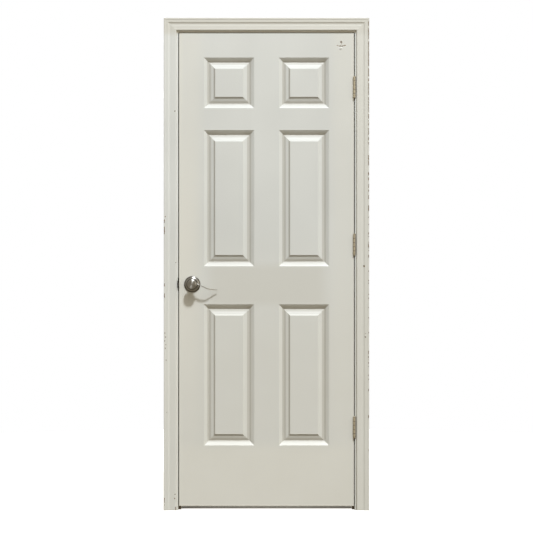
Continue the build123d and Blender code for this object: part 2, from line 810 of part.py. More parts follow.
bolt_nose = slab_left - bolt_throw
bolt_back = latch_plate_face + bolt_body_length
window_start = lock_x - cam_radius - tail_window_margin - bolt_throw
window_end = lock_x + cam_radius + tail_window_margin
with BuildPart() as latch_bolt:
    front_y = slab_middle - bolt_width / 2
    rear_y = slab_middle + bolt_width / 2
    with BuildSketch(Plane.XY.offset(lock_z - bolt_height / 2)):
        with BuildLine():
            Polyline(
                (bolt_back, front_y),
                (bolt_nose, front_y),
                (bolt_nose, front_y + bolt_nose_share * bolt_width),
                (slab_left, rear_y),
                (bolt_back, rear_y),
                close=True,
            )
        make_face()
    extrude(amount=bolt_height)
    tail_y = about(slab_middle, tail_thickness)
    block((bolt_back, window_end + tail_end_length), tail_y, about(lock_z, 2 * tail_half_height))
    window_z = about(lock_z, 2 * (cam_radius + tail_window_margin))
    block((window_start, window_end), tail_y, window_z, mode=Mode.SUBTRACT)
write(latch_bolt, "latch_bolt")

spring_start = bolt_back + bolt_throw + spring_clearance
with BuildPart() as latch_spring:
    spring_radius = case_bore - spring_clearance
    spring_span = (spring_start, spring_start + spring_length)
    rod_x(spring_radius, spring_span, slab_middle, lock_z)
    rod_x(spring_radius - spring_wall, spring_span, slab_middle, lock_z, mode=Mode.SUBTRACT)
write(latch_spring, "latch_spring")

# Spindle and cam that draw the bolt back

spindle_span = (-spindle_insertion, door_thickness + spindle_insertion)
spindle_hole = spindle_side + 2 * spindle_clearance
with BuildPart() as latch_cam:
    cam_y = about(slab_middle, cam_width)
    rod_y(cam_radius, lock_x, cam_y, lock_z)
    block(about(lock_x, spindle_hole), cam_y, about(lock_z, spindle_hole), mode=Mode.SUBTRACT)
write(latch_cam, "latch_cam")

with BuildPart() as spindle:
    block(about(lock_x, spindle_side), spindle_span, about(lock_z, spindle_side))
write(spindle, "spindle")

# Front lever, rose and fixing plate, drawn out from the slab's face; the rear ones mirror them

lock_axis = Axis((lock_x, 0, lock_z), (0, 1, 0))
turning_plane = Plane((lock_x, 0, lock_z), x_dir=(1, 0, 0), z_dir=(0, 0, -1))
set_screw_top = lock_z - spindle_side / 2 - spindle_clearance


def set_screw_hole(clearance, mode):
    """Set screw, or its hole, up through the neck's underside to the spindle."""
    span = (set_screw_top - set_screw_length, set_screw_top)
    rod_z(set_screw_radius + clearance, lock_x, -set_screw_place, span, mode=mode)


def lever_edge(height_sign):
    """Points along the upper or lower edge of the lever, from its hub to its tip."""
    points = []
    for along_share, drop_share in lever_line_shares:
        height = lever_root_height + (lever_tip_height - lever_root_height) * along_share
        rise = drop_share * lever_reach + height_sign * height / 2
        points.append((lock_x + along_share * lever_reach, lock_z + rise))
    return points


def lever_side(side_sign):
    """Points along the outer or inner side of the lever, seen from above, from its hub to past its tip."""
    points = []
    for along_share, stand_share in lever_bend_shares:
        thickness = lever_root_thickness + (lever_tip_thickness - lever_root_thickness) * along_share
        along = along_share * (lever_reach + lever_tip_height)
        points.append((lock_x + along, -(stand_share * lever_stand + side_sign * thickness / 2)))
    return points


# The lever's bar is what its front view and its view from above have in common
with BuildPart() as lever_bar:
    with BuildSketch(Plane.XZ):
        with BuildLine():
            upper = Spline(*lever_edge(1))
            lower = Spline(*lever_edge(-1))
            Line(upper @ 0, lower @ 0)
            RadiusArc(upper @ 1, lower @ 1, lever_tip_height)
        make_face()
    extrude(amount=lever_front)
    with BuildSketch(Plane.XY.offset(lock_z - lever_reach)):
        with BuildLine():
            outer_side = Spline(*lever_side(1))
            inner_side = Spline(*lever_side(-1))
            Line(outer_side @ 0, inner_side @ 0)
            Line(outer_side @ 1, inner_side @ 1)
        make_face()
    extrude(amount=2 * lever_reach, mode=Mode.INTERSECT)
    bar_span = (lock_x + lever_root_height, lock_x + 2 * lever_reach)
    fillet(lever_bar.edges().filter_by_position(Axis.X, *bar_span), lever_round)

with BuildPart() as front_lever:
    add(lever_bar.part)
    with BuildSketch(turning_plane):
        with BuildLine():
            Polyline(
                (0, lever_neck_start),
                (lever_neck_radius, lever_neck_start),
                (lever_neck_radius, lever_flare_start),
            )
            flare = TangentArc(
                (lever_neck_radius, lever_flare_start), (lever_hub_radius, lever_hub_rim), tangent=(0, 1),
            )
            Line(flare @ 1, (lever_hub_radius, lever_hub_edge))
            Spline(
                (lever_hub_radius, lever_hub_edge), (0, lever_front), tangents=((0, 1), (-1, 0)),
            )
            Line((0, lever_front), (0, lever_neck_start))
        make_face()
    revolve(axis=lock_axis)
    block(
        about(lock_x, spindle_hole), (-lever_neck_start, -spindle_insertion - spindle_clearance),
        about(lock_z, spindle_hole), mode=Mode.SUBTRACT,
    )
    set_screw_hole(set_screw_clearance, Mode.SUBTRACT)
    rod_z(
        set_screw_radius + set_screw_clearance, lock_x, -set_screw_place,
        (lock_z - lever_neck_radius - cut_overrun, set_screw_top), mode=Mode.SUBTRACT,
    )
write(front_lever, "front_lever")

with BuildPart() as rear_lever:
    mirror(front_lever.part, about=slab_mid_plane)
write(rear_lever, "rear_lever")

with BuildPart() as lever_set_screws:
    set_screw_hole(0, Mode.ADD)
    mirror(about=slab_mid_plane)
write(lever_set_screws, "lever_set_screws")

rose_hole_radius = lever_neck_radius + rose_hole_clearance
with BuildPart() as front_rose:
    with BuildSketch(turning_plane):
        with BuildLine():
            Polyline(
                (rose_radius, 0), (rose_radius - rose_wall, 0), (rose_radius - rose_wall, rose_rim_height),
                (rose_shoulder_radius, rose_shoulder_height - rose_wall),
                (rose_hole_radius, rose_height - rose_wall), (rose_hole_radius, rose_height),
            )
            Line((rose_hole_radius, rose_height), (rose_shoulder_radius, rose_shoulder_height))
            SagittaArc(
                (rose_shoulder_radius, rose_shoulder_height), (rose_radius, rose_rim_height), rose_wall / 2,
            )
            Line((rose_radius, rose_rim_height), (rose_radius, 0))
        make_face()
    revolve(axis=lock_axis)
write(front_rose, "front_rose")

with BuildPart() as rear_rose:
    mirror(front_rose.part, about=slab_mid_plane)
write(rear_rose, "rear_rose")

through_screw_heights = (lock_z - through_screw_spread, lock_z + through_screw_spread)
with BuildPart() as front_mount_plate:
    rod_y(plate_radius, lock_x, (-plate_thickness, 0), lock_z)
    rod_y(plate_hole_radius, lock_x, (-plate_thickness, 0), lock_z, mode=Mode.SUBTRACT)
    for screw_z in through_screw_heights:
        hole_radius = through_screw_radius + through_screw_clearance
        rod_y(hole_radius, lock_x, (-plate_thickness, 0), screw_z, mode=Mode.SUBTRACT)
write(front_mount_plate, "front_mount_plate")

with BuildPart() as rear_mount_plate:
    mirror(front_mount_plate.part, about=slab_mid_plane)
write(rear_mount_plate, "rear_mount_plate")

through_screw_end = door_thickness + plate_thickness
with BuildPart() as through_screws:
    for screw_z in through_screw_heights:
        rod_y(through_screw_radius, lock_x, (-plate_thickness, through_screw_end), screw_z)
        head_span = (through_screw_end, through_screw_end + through_screw_head_height)
        rod_y(through_screw_head_radius, lock_x, head_span, screw_z)
write(through_screws, "through_screws")

with BuildPart() as front_return_spring:
    with BuildSketch(Plane((lock_x, -plate_thickness, lock_z), x_dir=(1, 0, 0), z_dir=(0, -1, 0))):
        with BuildLine():
            outer = CenterArc((0, 0), return_spring_radius, -return_spring_arc / 2, return_spring_arc)
            inner_radius = return_spring_radius - return_spring_wire
            inner = CenterArc((0, 0), inner_radius, -return_spring_arc / 2, return_spring_arc)
            Line(outer @ 0, inner @ 0)
            Line(outer @ 1, inner @ 1)
        make_face()
    extrude(amount=return_spring_wire)
write(front_return_spring, "front_return_spring")

with BuildPart() as rear_return_spring:
    mirror(front_return_spring.part, about=slab_mid_plane)
write(rear_return_spring, "rear_return_spring")
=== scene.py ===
"""Finishes, wear and studio stage for a six-panel door hung in its frame."""

import math
import random

import bmesh
import bpy
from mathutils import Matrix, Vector
from mathutils.bvhtree import BVHTree


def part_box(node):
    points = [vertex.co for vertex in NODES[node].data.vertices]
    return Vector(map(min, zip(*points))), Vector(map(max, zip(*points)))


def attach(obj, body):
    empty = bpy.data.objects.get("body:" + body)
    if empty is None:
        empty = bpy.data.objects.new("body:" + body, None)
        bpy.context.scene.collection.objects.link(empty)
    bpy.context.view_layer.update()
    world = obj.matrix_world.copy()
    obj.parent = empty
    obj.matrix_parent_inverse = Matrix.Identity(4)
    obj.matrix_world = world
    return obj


bl_info = {
    "name": "Six-panel door finishes",
    "version": (1, 0, 0),
    "blender": (4, 5, 0),
    "location": "3D View > Sidebar > Door",
    "description": "Paints, plates and wears a six-panel door with its frame, and lights it",
    "category": "Object",
}

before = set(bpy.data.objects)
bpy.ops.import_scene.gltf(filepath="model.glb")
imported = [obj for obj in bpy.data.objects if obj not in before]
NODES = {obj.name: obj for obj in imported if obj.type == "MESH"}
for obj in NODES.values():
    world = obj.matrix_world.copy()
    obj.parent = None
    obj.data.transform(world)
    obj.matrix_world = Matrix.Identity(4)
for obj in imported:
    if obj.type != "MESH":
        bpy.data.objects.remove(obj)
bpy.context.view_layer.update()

HINGES = ("top", "middle", "bottom")
SLAB_SKINS = ("front_skin", "rear_skin")
SLAB_EDGES = ("lock_stile", "hinge_stile", "top_rail", "bottom_rail")
CASINGS = ("strike_casing", "hinge_casing", "head_casing")
STOPS = ("strike_stop", "hinge_stop", "head_stop")
UPRIGHT_JAMBS = ("strike_jamb", "hinge_jamb")
HINGE_LEAVES = tuple(f"hinge_{place}_{side}_leaf" for place in HINGES for side in ("frame", "door"))
HINGE_PINS = tuple(f"hinge_{place}_pin" for place in HINGES)
HINGE_SCREWS = ("hinge_frame_screws", "hinge_door_screws")
LEVERS = ("front_lever", "rear_lever")
ROSES = ("front_rose", "rear_rose")
LATCH_PIECES = ("latch_faceplate", "latch_case", "latch_bolt")
SMALL_FIXINGS = (
    "latch_screws", "strike_screws", "lever_set_screws", "through_screws", "casing_nails", "stop_nails",
    "head_nails", "spindle", "latch_cam", "latch_spring", "front_mount_plate", "rear_mount_plate",
    "front_return_spring", "rear_return_spring",
)


def middle_of(node):
    """Middle of a CAD piece's box."""
    low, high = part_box(node)
    return (low + high) / 2


# Sizes are in metres, unless a comment says otherwise; those in millimetres are divided by this
MILLIMETRES = 1000.0
LOCK = middle_of("spindle")
SLAB_LOW, SLAB_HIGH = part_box("front_skin")
SLAB_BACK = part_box("rear_skin")[1].y
CASING_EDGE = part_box("hinge_casing")[1].x
HEAD_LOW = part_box("head_casing")[0].z
HINGE_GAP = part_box("hinge_jamb")[0].x
# Panels of the slab: half of the middle-to-middle distance, width, and each row's foot and height
PANEL_MIDDLE = 0.161
PANEL_WIDTH = 0.2155
PANEL_ROWS = ((0.279, 0.606), (1.049, 0.585), (1.729, 0.217))
# Groove round a panel, and the shoulder of its raised field, in from the panel's edge
GROOVE_DEPTH = 0.0134
SHOULDER = (0.0410, 0.0490)
# Lever's hub, radius and width of the rims of hub and rose darkened as painted shade, and how far outside a
# rim they fade
HUB_RADIUS = 0.0235
RIMS = ((HUB_RADIUS, 0.0040), (0.0345, 0.0050))
RIM_FADE = 0.001
# Knuckles in a hinge's barrel, and how near to a joint its dark line starts and is full
KNUCKLES = 5
KNUCKLE_JOINT = (0.0014, 0.0006)

# Where each kind of wear, tone, painted light and painted shade starts and where it is full, up from the
# floor
AGED_BELOW = (1.3, 0.6)
DIRTY_BELOW = (1.25, 0.10)
BOTTOM_RAIL_LIGHT = (0.31, 0.24)
LOCK_RAIL_FOOT = (0.86, 0.91)
LOCK_RAIL_TOP = (1.08, 1.03)
BAND_FOOT = (0.3, 0.9)
BAND_TOP = (1.9, 1.1)
FOOT_ARRIS_HIGHLIGHT = (SLAB_LOW.z + 0.007, SLAB_LOW.z + 0.004)
ABOVE_SLAB = (SLAB_HIGH.z, SLAB_HIGH.z + 0.002)
HEAD_CASING = (HEAD_LOW - 0.03, HEAD_LOW)
# The same across, from the middle of the doorway
STILES = (0.25, 0.32)
LOCK_RAIL_ENDS = (0.29, 0.21)
BAND_SIDE = (-0.25, -0.36)
SLAB_RIM_HIGHLIGHT = (SLAB_HIGH.x - 0.022, SLAB_HIGH.x - 0.004)
SLAB_SIDES = (SLAB_HIGH.x - 0.0010, SLAB_HIGH.x - 0.0004)
HINGE_SIDE = (0.2, 0.4)
# The same in depth: from the slab's faces, and from the wall's plane
GROOVE_SHADE_AND_DIRT = (GROOVE_DEPTH - 0.0016, GROOVE_DEPTH - 0.0004)
JAMB_FRONT = (0.0015, 0.005)
JAMB_STOP = (SLAB_BACK + 0.004, SLAB_BACK)

# Dirt and painted shade on the faces that meet in the gap around the slab, and what age leaves of a paint's
# red, green and blue
GAP_DIRT_AND_SHADE = (0.27, 0.215, 0.125)
AGEING = (1.0, 0.972, 0.925)
# Roughness of the dull dirt and painted shade in the gap, for each unit of its mask
GAP_ROUGHNESS = 1.6

# Share of a face's direction along an axis: to face that way, to face away from the light for painted shade,
# and to be square to the axis
FACING = 0.5
FACING_AWAY = 0.3
SQUARE = 0.9
# How near to a jamb's outer plane, and to the floor, a face's middle counts as on it
ON_PLANE = 0.0005
ON_FLOOR = 0.001


def colour_property(name, description, default):
    """Colour that a user would change."""
    return bpy.props.FloatVectorProperty(
        name=name, description=description, subtype="COLOR", size=3, min=0.0, max=1.0, default=default,
    )


def share_property(name, description, default):
    """Amount from none to full."""
    return bpy.props.FloatProperty(
        name=name, description=description, subtype="FACTOR", min=0.0, max=1.0, default=default,
    )


def length_property(name, description, default):
    """Length in metres."""
    return bpy.props.FloatProperty(
        name=name, description=description, subtype="DISTANCE", unit="LENGTH", min=0.0, default=default,
    )


def angle_property(name, description, default):
    """Angle, with its default in degrees."""
    return bpy.props.FloatProperty(
        name=name, description=description, subtype="ANGLE", unit="ROTATION", min=0.0,
        default=math.radians(default),
    )


def strength_property(name, description, default):
    """Strength of a light."""
    return bpy.props.FloatProperty(name=name, description=description, min=0.0, default=default)


class DoorPaintSettings(bpy.types.PropertyGroup):
    """Colours and wear of the painted and bare wood."""

    slab_colour: colour_property("Slab paint", "Paint on the door slab", (0.700, 0.702, 0.662))
    trim_colour: colour_property("Trim paint", "Paint on the casing, jambs and stops", (0.735, 0.737, 0.695))
    grime_colour: colour_property("Grime", "Hand and floor dirt on the paint", (0.46, 0.40, 0.29))
    wood_colour: colour_property("Bare wood", "Softwood of the jambs and slab edges", (0.56, 0.40, 0.23))
    chip_colour: colour_property("Chipped wood", "Old wood where paint has come off", (0.17, 0.115, 0.065))
    stipple: length_property("Stipple", "Height of the roller stipple in the paint", 0.00012)
    grime: share_property("Grime amount", "Strength of the dirt on the paint", 0.5)


class DoorMetalSettings(bpy.types.PropertyGroup):
    """Colours of the hinges, lever set and latch."""

    nickel_colour: colour_property("Satin nickel", "Lever and rose", (0.54, 0.515, 0.47))
    brass_colour: colour_property("Dull brass", "Hinges", (0.68, 0.60, 0.44))
    # Tarnish also gives the painted shade on the hinge barrels' side by the casing
    tarnish_and_shade_colour: colour_property("Tarnish", "Dark film on the hinges and steel", (0.16, 0.12, 0.07))
    steel_colour: colour_property("Plated steel", "Latch, strike and screws", (0.52, 0.51, 0.48))


class DoorStageSettings(bpy.types.PropertyGroup):
    """Camera and light of the studio."""

    camera_distance: length_property("Camera distance", "From the wall's plane to the camera", 8.0)
    view_height: length_property("View height", "Height of the picture at the wall's plane", 2.291)
    camera_height: length_property("Camera height", "Height of the camera over the floor", 1.048)
    key_strength: strength_property("Key", "Strength of the key light", 2.45)
    key_softness: angle_property("Key softness", "Angle that the key light covers", 6.0)
    side_strength: strength_property("Side", "Soft light from the right", 0.43)
    sky_strength: strength_property("Sky", "Light from above", 0.39)
    ground_strength: strength_property("Ground", "Light from below", 0.215)


def shade(colour, factor):
    """Lighter or darker version of a colour."""
    return tuple(min(1.0, channel * factor) for channel in colour)


def yellowed(colour, factor=1.0):
    """Older, warmer version of a paint colour, lighter or darker."""
    return tuple(channel * left for channel, left in zip(shade(colour, factor), AGEING))


class FinishSheet:
    """One finish and its node sheet, with short ways to add the nodes that the finishes share."""

    def __init__(self, name):
        self.material = bpy.data.materials.new(name)
        self.material.use_nodes = True
        self.tree = self.material.node_tree
        self.shader = self.tree.nodes["Principled BSDF"]
        self.place = self.add("ShaderNodeTexCoord").outputs["Object"]
        # Mask of the dull dirt and painted shade on the surface, where it has any
        self.matte = 0.0

    def feed(self, socket, value):
        """Link an output to a socket, or set the socket's value."""
        if isinstance(value, bpy.types.NodeSocket):
            self.tree.links.new(value, socket)
        elif socket.type == "RGBA":
            socket.default_value = (*tuple(value)[:3], 1.0)
        else:
            socket.default_value = value

    def add(self, kind, sockets=None, **settings):
        """New node with its settings and its inputs."""
        node = self.tree.nodes.new(kind)
        for setting, value in settings.items():
            setattr(node, setting, value)
        for socket, value in (sockets or {}).items():
            self.feed(node.inputs[socket], value)
        return node

    def set(self, **values):
        """Inputs of the shader, by name with underscores for spaces."""
        for name, value in values.items():
            self.feed(self.shader.inputs[name.replace("_", " ")], value)

    def math(self, operation, first, second=0.0):
        """Result of one sum."""
        return self.add("ShaderNodeMath", {0: first, 1: second}, operation=operation).outputs[0]

    def vector(self, operation, first, second=(0.0, 0.0, 0.0)):
        """Result of one sum on vectors."""
        node = self.add("ShaderNodeVectorMath", {0: first, 1: second}, operation=operation)
        return node.outputs["Value" if operation == "LENGTH" else "Vector"]

    def axes(self):
        """Place along each axis, in metres from the row frame's origin."""
        return self.add("ShaderNodeSeparateXYZ", {0: self.place}).outputs

    def facing(self):
        """Direction that the surface faces, along each axis."""
        normal = self.add("ShaderNodeTexCoord").outputs["Normal"]
        return self.add("ShaderNodeSeparateXYZ", {0: normal}).outputs

    def noise(self, scale, detail=3.0, roughness=0.5, stretch=None):
        """Noise from 0 to 1 over the surface, with its own scale along each axis where asked."""
        where = self.vector("MULTIPLY", self.place, stretch) if stretch else self.place
        sockets = {"Vector": where, "Scale": scale, "Detail": detail, "Roughness": roughness}
        return self.add("ShaderNodeTexNoise", sockets).outputs[0]

    def ramp(self, value, low, high, top=1.0):
        """Smooth step from 0 at low to top at high."""
        sockets = {0: value, 1: low, 2: high, 3: 0.0, 4: top}
        return self.add("ShaderNodeMapRange", sockets, interpolation_type="SMOOTHSTEP").outputs[0]

    def between(self, value, low, high):
        """Value from 0 to 1 spread evenly from low to high."""
        return self.add("ShaderNodeMapRange", {0: value, 3: low, 4: high}).outputs[0]

    def times(self, *values):
        """Product of several masks."""
        product = values[0]
        for value in values[1:]:
            product = self.math("MULTIPLY", product, value)
        return product

    def mix(self, factor, first, second):
        """Blend of two colours."""
        node = self.add("ShaderNodeMix", {0: factor, 6: first, 7: second}, data_type="RGBA")
        return node.outputs[2]

    def corners(self, reach):
        """Mask of inner corners and narrow gaps."""
        node = self.add("ShaderNodeAmbientOcclusion", {"Distance": reach}, samples=6)
        return self.math("SUBTRACT", 1.0, node.outputs["AO"])

    def bump(self, height, distance, strength, normal=None):
        """Relief of a given height in metres, on top of another relief where given."""
        sockets = {"Height": height, "Distance": distance, "Strength": strength}
        if normal is not None:
            sockets["Normal"] = normal
        return self.add("ShaderNodeBump", sockets).outputs[0]


def slab_wear_and_shading(sheet, tone, colour, paint):
    """Lighter stiles and lock-stile band, painted light on the bottom rail, painted shade on the lock rail,
    painted highlights on the rim and foot arris, and dirt with painted shade on the sides and in the grooves.
    """
    x, y, z = sheet.axes()
    from_middle = sheet.math("ABSOLUTE", x)
    tone = sheet.mix(sheet.ramp(from_middle, *STILES, top=0.4), tone, yellowed(colour, 1.09))
    # Bottom rail lighter: painted light from below
    tone = sheet.mix(sheet.ramp(z, *BOTTOM_RAIL_LIGHT), tone, yellowed(colour, 1.08))
    # Lock rail darker: painted shade across the middle of the door
    lock_rail_shade = sheet.times(sheet.ramp(z, *LOCK_RAIL_FOOT), sheet.ramp(z, *LOCK_RAIL_TOP))
    lock_rail_shade = sheet.times(lock_rail_shade, sheet.ramp(from_middle, *LOCK_RAIL_ENDS), 0.7)
    tone = sheet.mix(lock_rail_shade, tone, yellowed(colour, 0.93))
    # Lighter, warmer band down the lock stile, and a painted highlight along the slab's rim
    lock_stile_band = sheet.times(sheet.ramp(z, *BAND_FOOT), sheet.ramp(z, *BAND_TOP), sheet.ramp(x, *BAND_SIDE))
    band_and_rim_highlight = sheet.math("MAXIMUM", lock_stile_band, sheet.ramp(from_middle, *SLAB_RIM_HIGHLIGHT, top=0.6))
    tone = sheet.mix(band_and_rim_highlight, tone, yellowed(colour, 1.09))
    # Painted highlight along the slab's foot arris
    tone = sheet.mix(sheet.ramp(z, *FOOT_ARRIS_HIGHLIGHT), tone, yellowed(colour, 1.2))
    # Sides of the slab, in the gap: dirt and painted shade, made dull
    sheet.matte = sheet.ramp(from_middle, *SLAB_SIDES, top=1.1 * paint.grime)
    tone = sheet.mix(sheet.matte, tone, GAP_DIRT_AND_SHADE)
    # Groove bottoms darkened by depth into the slab: painted shade and dirt
    middle = (SLAB_LOW.y + SLAB_BACK) / 2
    from_core = sheet.math("ABSOLUTE", sheet.math("SUBTRACT", y, middle))
    depth = sheet.math("SUBTRACT", middle - SLAB_LOW.y, from_core)
    groove = sheet.ramp(depth, *GROOVE_SHADE_AND_DIRT, top=0.7 * paint.grime)
    return sheet.mix(groove, tone, shade(paint.grime_colour, 0.7))


def trim_wear(sheet, tone, colour, _paint):
    """Hinge side yellowed, and head casing dulled by dust."""
    x, _y, z = sheet.axes()
    tone = sheet.mix(sheet.ramp(x, *HINGE_SIDE, top=0.75), tone, yellowed(colour, 0.97))
    return sheet.mix(sheet.ramp(z, *HEAD_CASING), tone, yellowed(colour, 0.905))


def jamb_wear_and_shading(sheet, tone, colour, paint):
    """Head jamb yellowed, and jambs darkened by dirt and painted shade where the closed slab sits in front of
    the stops.
    """
    _x, y, z = sheet.axes()
    tone = sheet.mix(sheet.ramp(z, *ABOVE_SLAB), tone, yellowed(yellowed(colour)))
    # Jamb faces in the gap beside the closed slab: dirt and painted shade, made dull
    sheet.matte = sheet.times(sheet.ramp(y, *JAMB_FRONT), sheet.ramp(y, *JAMB_STOP), 1.2 * paint.grime)
    return sheet.mix(sheet.matte, tone, GAP_DIRT_AND_SHADE)


def painted_finish(name, colour, paint, wear_and_shading=None, corner_dirt_and_shade=True):
    """Satin house paint: cloudy, streaked and aged low down, with its own wear and painted light, dirt,
    specks and stipple, and dirt with painted shade in its corners.
    """
    sheet = FinishSheet(name)
    height = sheet.axes()[2]
    cloud = sheet.noise(2.3, detail=2.0)
    tone = sheet.mix(sheet.ramp(cloud, 0.32, 0.68), shade(colour, 0.965), shade(colour, 1.025))
    streaks = sheet.noise(9.0, stretch=(1.0, 1.0, 0.12))
    tone = sheet.mix(sheet.ramp(streaks, 0.5, 0.75, top=0.22), tone, shade(colour, 0.93))
    tone = sheet.mix(sheet.ramp(height, *AGED_BELOW, top=0.6), tone, yellowed(colour, 1.03))
    if wear_and_shading is not None:
        tone = wear_and_shading(sheet, tone, colour, paint)
    patches = sheet.ramp(sheet.noise(5.0, detail=4.0), 0.25, 0.8)
    foot = sheet.times(sheet.ramp(height, *DIRTY_BELOW), patches, 0.14 * paint.grime)
    tone = sheet.mix(foot, tone, paint.grime_colour)
    # Patchy dirt and painted shade in corners, where the surfaces close in
    if corner_dirt_and_shade:
        corner_patches = sheet.ramp(sheet.noise(45.0, detail=4.0), 0.05, 0.75)
        corner = sheet.times(sheet.ramp(sheet.corners(reach=0.007), 0.15, 0.5), corner_patches, 0.9 * paint.grime)
        tone = sheet.mix(corner, tone, shade(paint.grime_colour, 0.62))
    specks = sheet.ramp(sheet.noise(260.0, detail=2.0), 0.70, 0.76, top=0.10)
    tone = sheet.mix(specks, tone, shade(paint.grime_colour, 0.8))
    gloss = sheet.between(sheet.noise(14.0), 0.34, 0.50)
    dull = sheet.times(sheet.matte, GAP_ROUGHNESS)
    waves = sheet.bump(sheet.noise(7.0, detail=1.0), distance=0.0012, strength=0.35)
    grain = sheet.noise(520.0, detail=2.0, roughness=0.55)
    stipple = sheet.bump(grain, distance=paint.stipple, strength=0.5, normal=waves)
    sheet.set(Base_Color=tone, Roughness=sheet.math("MAXIMUM", gloss, dull), Normal=stipple, Coat_Weight=0.06)
    return sheet


def along_grain(axis, across, along):
    """Scale of a noise along each axis, with one for the grain's axis and one for the others."""
    return tuple(along if name == axis else across for name in "XYZ")


def bare_wood_finish(name, colour, grain_axis):
    """Planed softwood with growth lines along one axis."""
    sheet = FinishSheet(name)
    wander = sheet.noise(1.0, stretch=along_grain(grain_axis, across=26.0, along=1.1))
    lines = sheet.math("FRACT", sheet.math("MULTIPLY", wander, 9.0))
    late_wood = sheet.ramp(lines, 0.15, 0.95)
    tone = sheet.mix(late_wood, shade(colour, 1.15), shade(colour, 0.72))
    fibre = sheet.noise(1.0, detail=2.0, stretch=along_grain(grain_axis, across=420.0, along=9.0))
    tone = sheet.mix(sheet.ramp(fibre, 0.45, 0.75, top=0.45), tone, shade(colour, 0.6))
    sheet.set(Base_Color=tone, Roughness=0.72, Normal=sheet.bump(fibre, distance=0.0003, strength=0.5))
    return sheet


def chipped_wood_finish(name, colour):
    """Old wood and primer where the paint has come away."""
    sheet = FinishSheet(name)
    dark = sheet.ramp(sheet.noise(300.0, detail=4.0), 0.3, 0.7)
    tone = sheet.mix(dark, shade(colour, 1.5), shade(colour, 0.6))
    sheet.set(Base_Color=tone, Roughness=0.85)
    sheet.set(Normal=sheet.bump(sheet.noise(900.0), distance=0.0002, strength=0.6))
    return sheet


def brushed_nickel_finish(name, metal, straight_from=None):
    """Turned satin nickel about the lock's axis; past a distance from it, brushed lengthwise."""
    sheet = FinishSheet(name)
    from_axis = sheet.vector("SUBTRACT", sheet.place, tuple(LOCK))
    flat = sheet.vector("MULTIPLY", from_axis, (1.0, 0.0, 1.0))
    radius = sheet.vector("LENGTH", flat)
    outward = sheet.vector("NORMALIZE", flat)
    rings = sheet.add("ShaderNodeCombineXYZ", {0: sheet.times(radius, 900.0)}).outputs[0]
    brushed = sheet.add("ShaderNodeTexNoise", {"Vector": rings, "Scale": 3.0, "Detail": 3.0}).outputs[0]
    tangent = outward
    if straight_from is not None:
        blade = sheet.math("GREATER_THAN", sheet.axes()[0], LOCK.x + straight_from)
        strokes = sheet.noise(1.0, stretch=(40.0, 1600.0, 1600.0))
        brushed = sheet.add("ShaderNodeMix", {0: blade, 2: brushed, 3: strokes}).outputs[0]
        sockets = {0: blade, 4: outward, 5: (0.0, 0.0, 1.0)}
        tangent = sheet.add("ShaderNodeMix", sockets, data_type="VECTOR").outputs[1]
    film = sheet.ramp(sheet.noise(35.0, detail=4.0), 0.4, 0.8, top=0.35)
    tone = sheet.mix(film, metal.nickel_colour, shade(metal.nickel_colour, 0.62))
    tone = sheet.mix(sheet.ramp(brushed, 0.35, 0.75, top=0.35), tone, shade(metal.nickel_colour, 0.55))
    # Dark rims where hub meets rose and rose meets door: painted shade
    for rim, width in RIMS:
        inside = sheet.ramp(radius, rim - width, rim - width / 2)
        on_rim = sheet.times(inside, sheet.ramp(radius, rim + RIM_FADE, rim))
        tone = sheet.mix(sheet.times(on_rim, 0.85), tone, shade(metal.nickel_colour, 0.14))
    sheet.set(Base_Color=tone, Metallic=1.0, Anisotropic=0.85, Tangent=tangent)
    sheet.set(Roughness=sheet.between(sheet.noise(20.0), 0.30, 0.40))
    sheet.set(Normal=sheet.bump(brushed, distance=0.00002, strength=0.35))
    return sheet


def dull_brass_finish(name, metal):
    """Plated hinge metal gone dull, with dark film in its joints and painted shade on the barrel's side by
    the casing.
    """
    sheet = FinishSheet(name)
    film = sheet.ramp(sheet.noise(90.0, detail=5.0, roughness=0.6), 0.42, 0.72, top=0.6)
    tone = sheet.mix(film, metal.brass_colour, shade(metal.brass_colour, 0.55))
    joints = sheet.ramp(sheet.corners(reach=0.004), 0.25, 0.85, top=0.85)
    tone = sheet.mix(joints, tone, metal.tarnish_and_shade_colour)
    _x, y, z = sheet.axes()
    on_barrel = sheet.math("LESS_THAN", y, 0.0)
    # Barrel's side toward the casing darkened: painted shade
    shaded_side = sheet.times(on_barrel, sheet.ramp(sheet.facing()[0], 0.25, 0.75), 0.8)
    tone = sheet.mix(shaded_side, tone, metal.tarnish_and_shade_colour)
    for place in HINGES:
        low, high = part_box(f"hinge_{place}_frame_leaf")
        pitch = (high.z - low.z) / KNUCKLES
        to_joint = sheet.math("PINGPONG", sheet.math("SUBTRACT", z, low.z), pitch / 2)
        on_hinge = sheet.times(sheet.math("GREATER_THAN", z, low.z), sheet.math("LESS_THAN", z, high.z))
        joint = sheet.times(on_barrel, on_hinge, sheet.ramp(to_joint, *KNUCKLE_JOINT), 0.8)
        tone = sheet.mix(joint, tone, metal.tarnish_and_shade_colour)
    sheet.set(Base_Color=tone, Metallic=0.75)
    sheet.set(Roughness=sheet.between(sheet.noise(150.0, detail=4.0), 0.34, 0.59))
    sheet.set(Normal=sheet.bump(sheet.noise(700.0), distance=0.00008, strength=0.4))
    return sheet


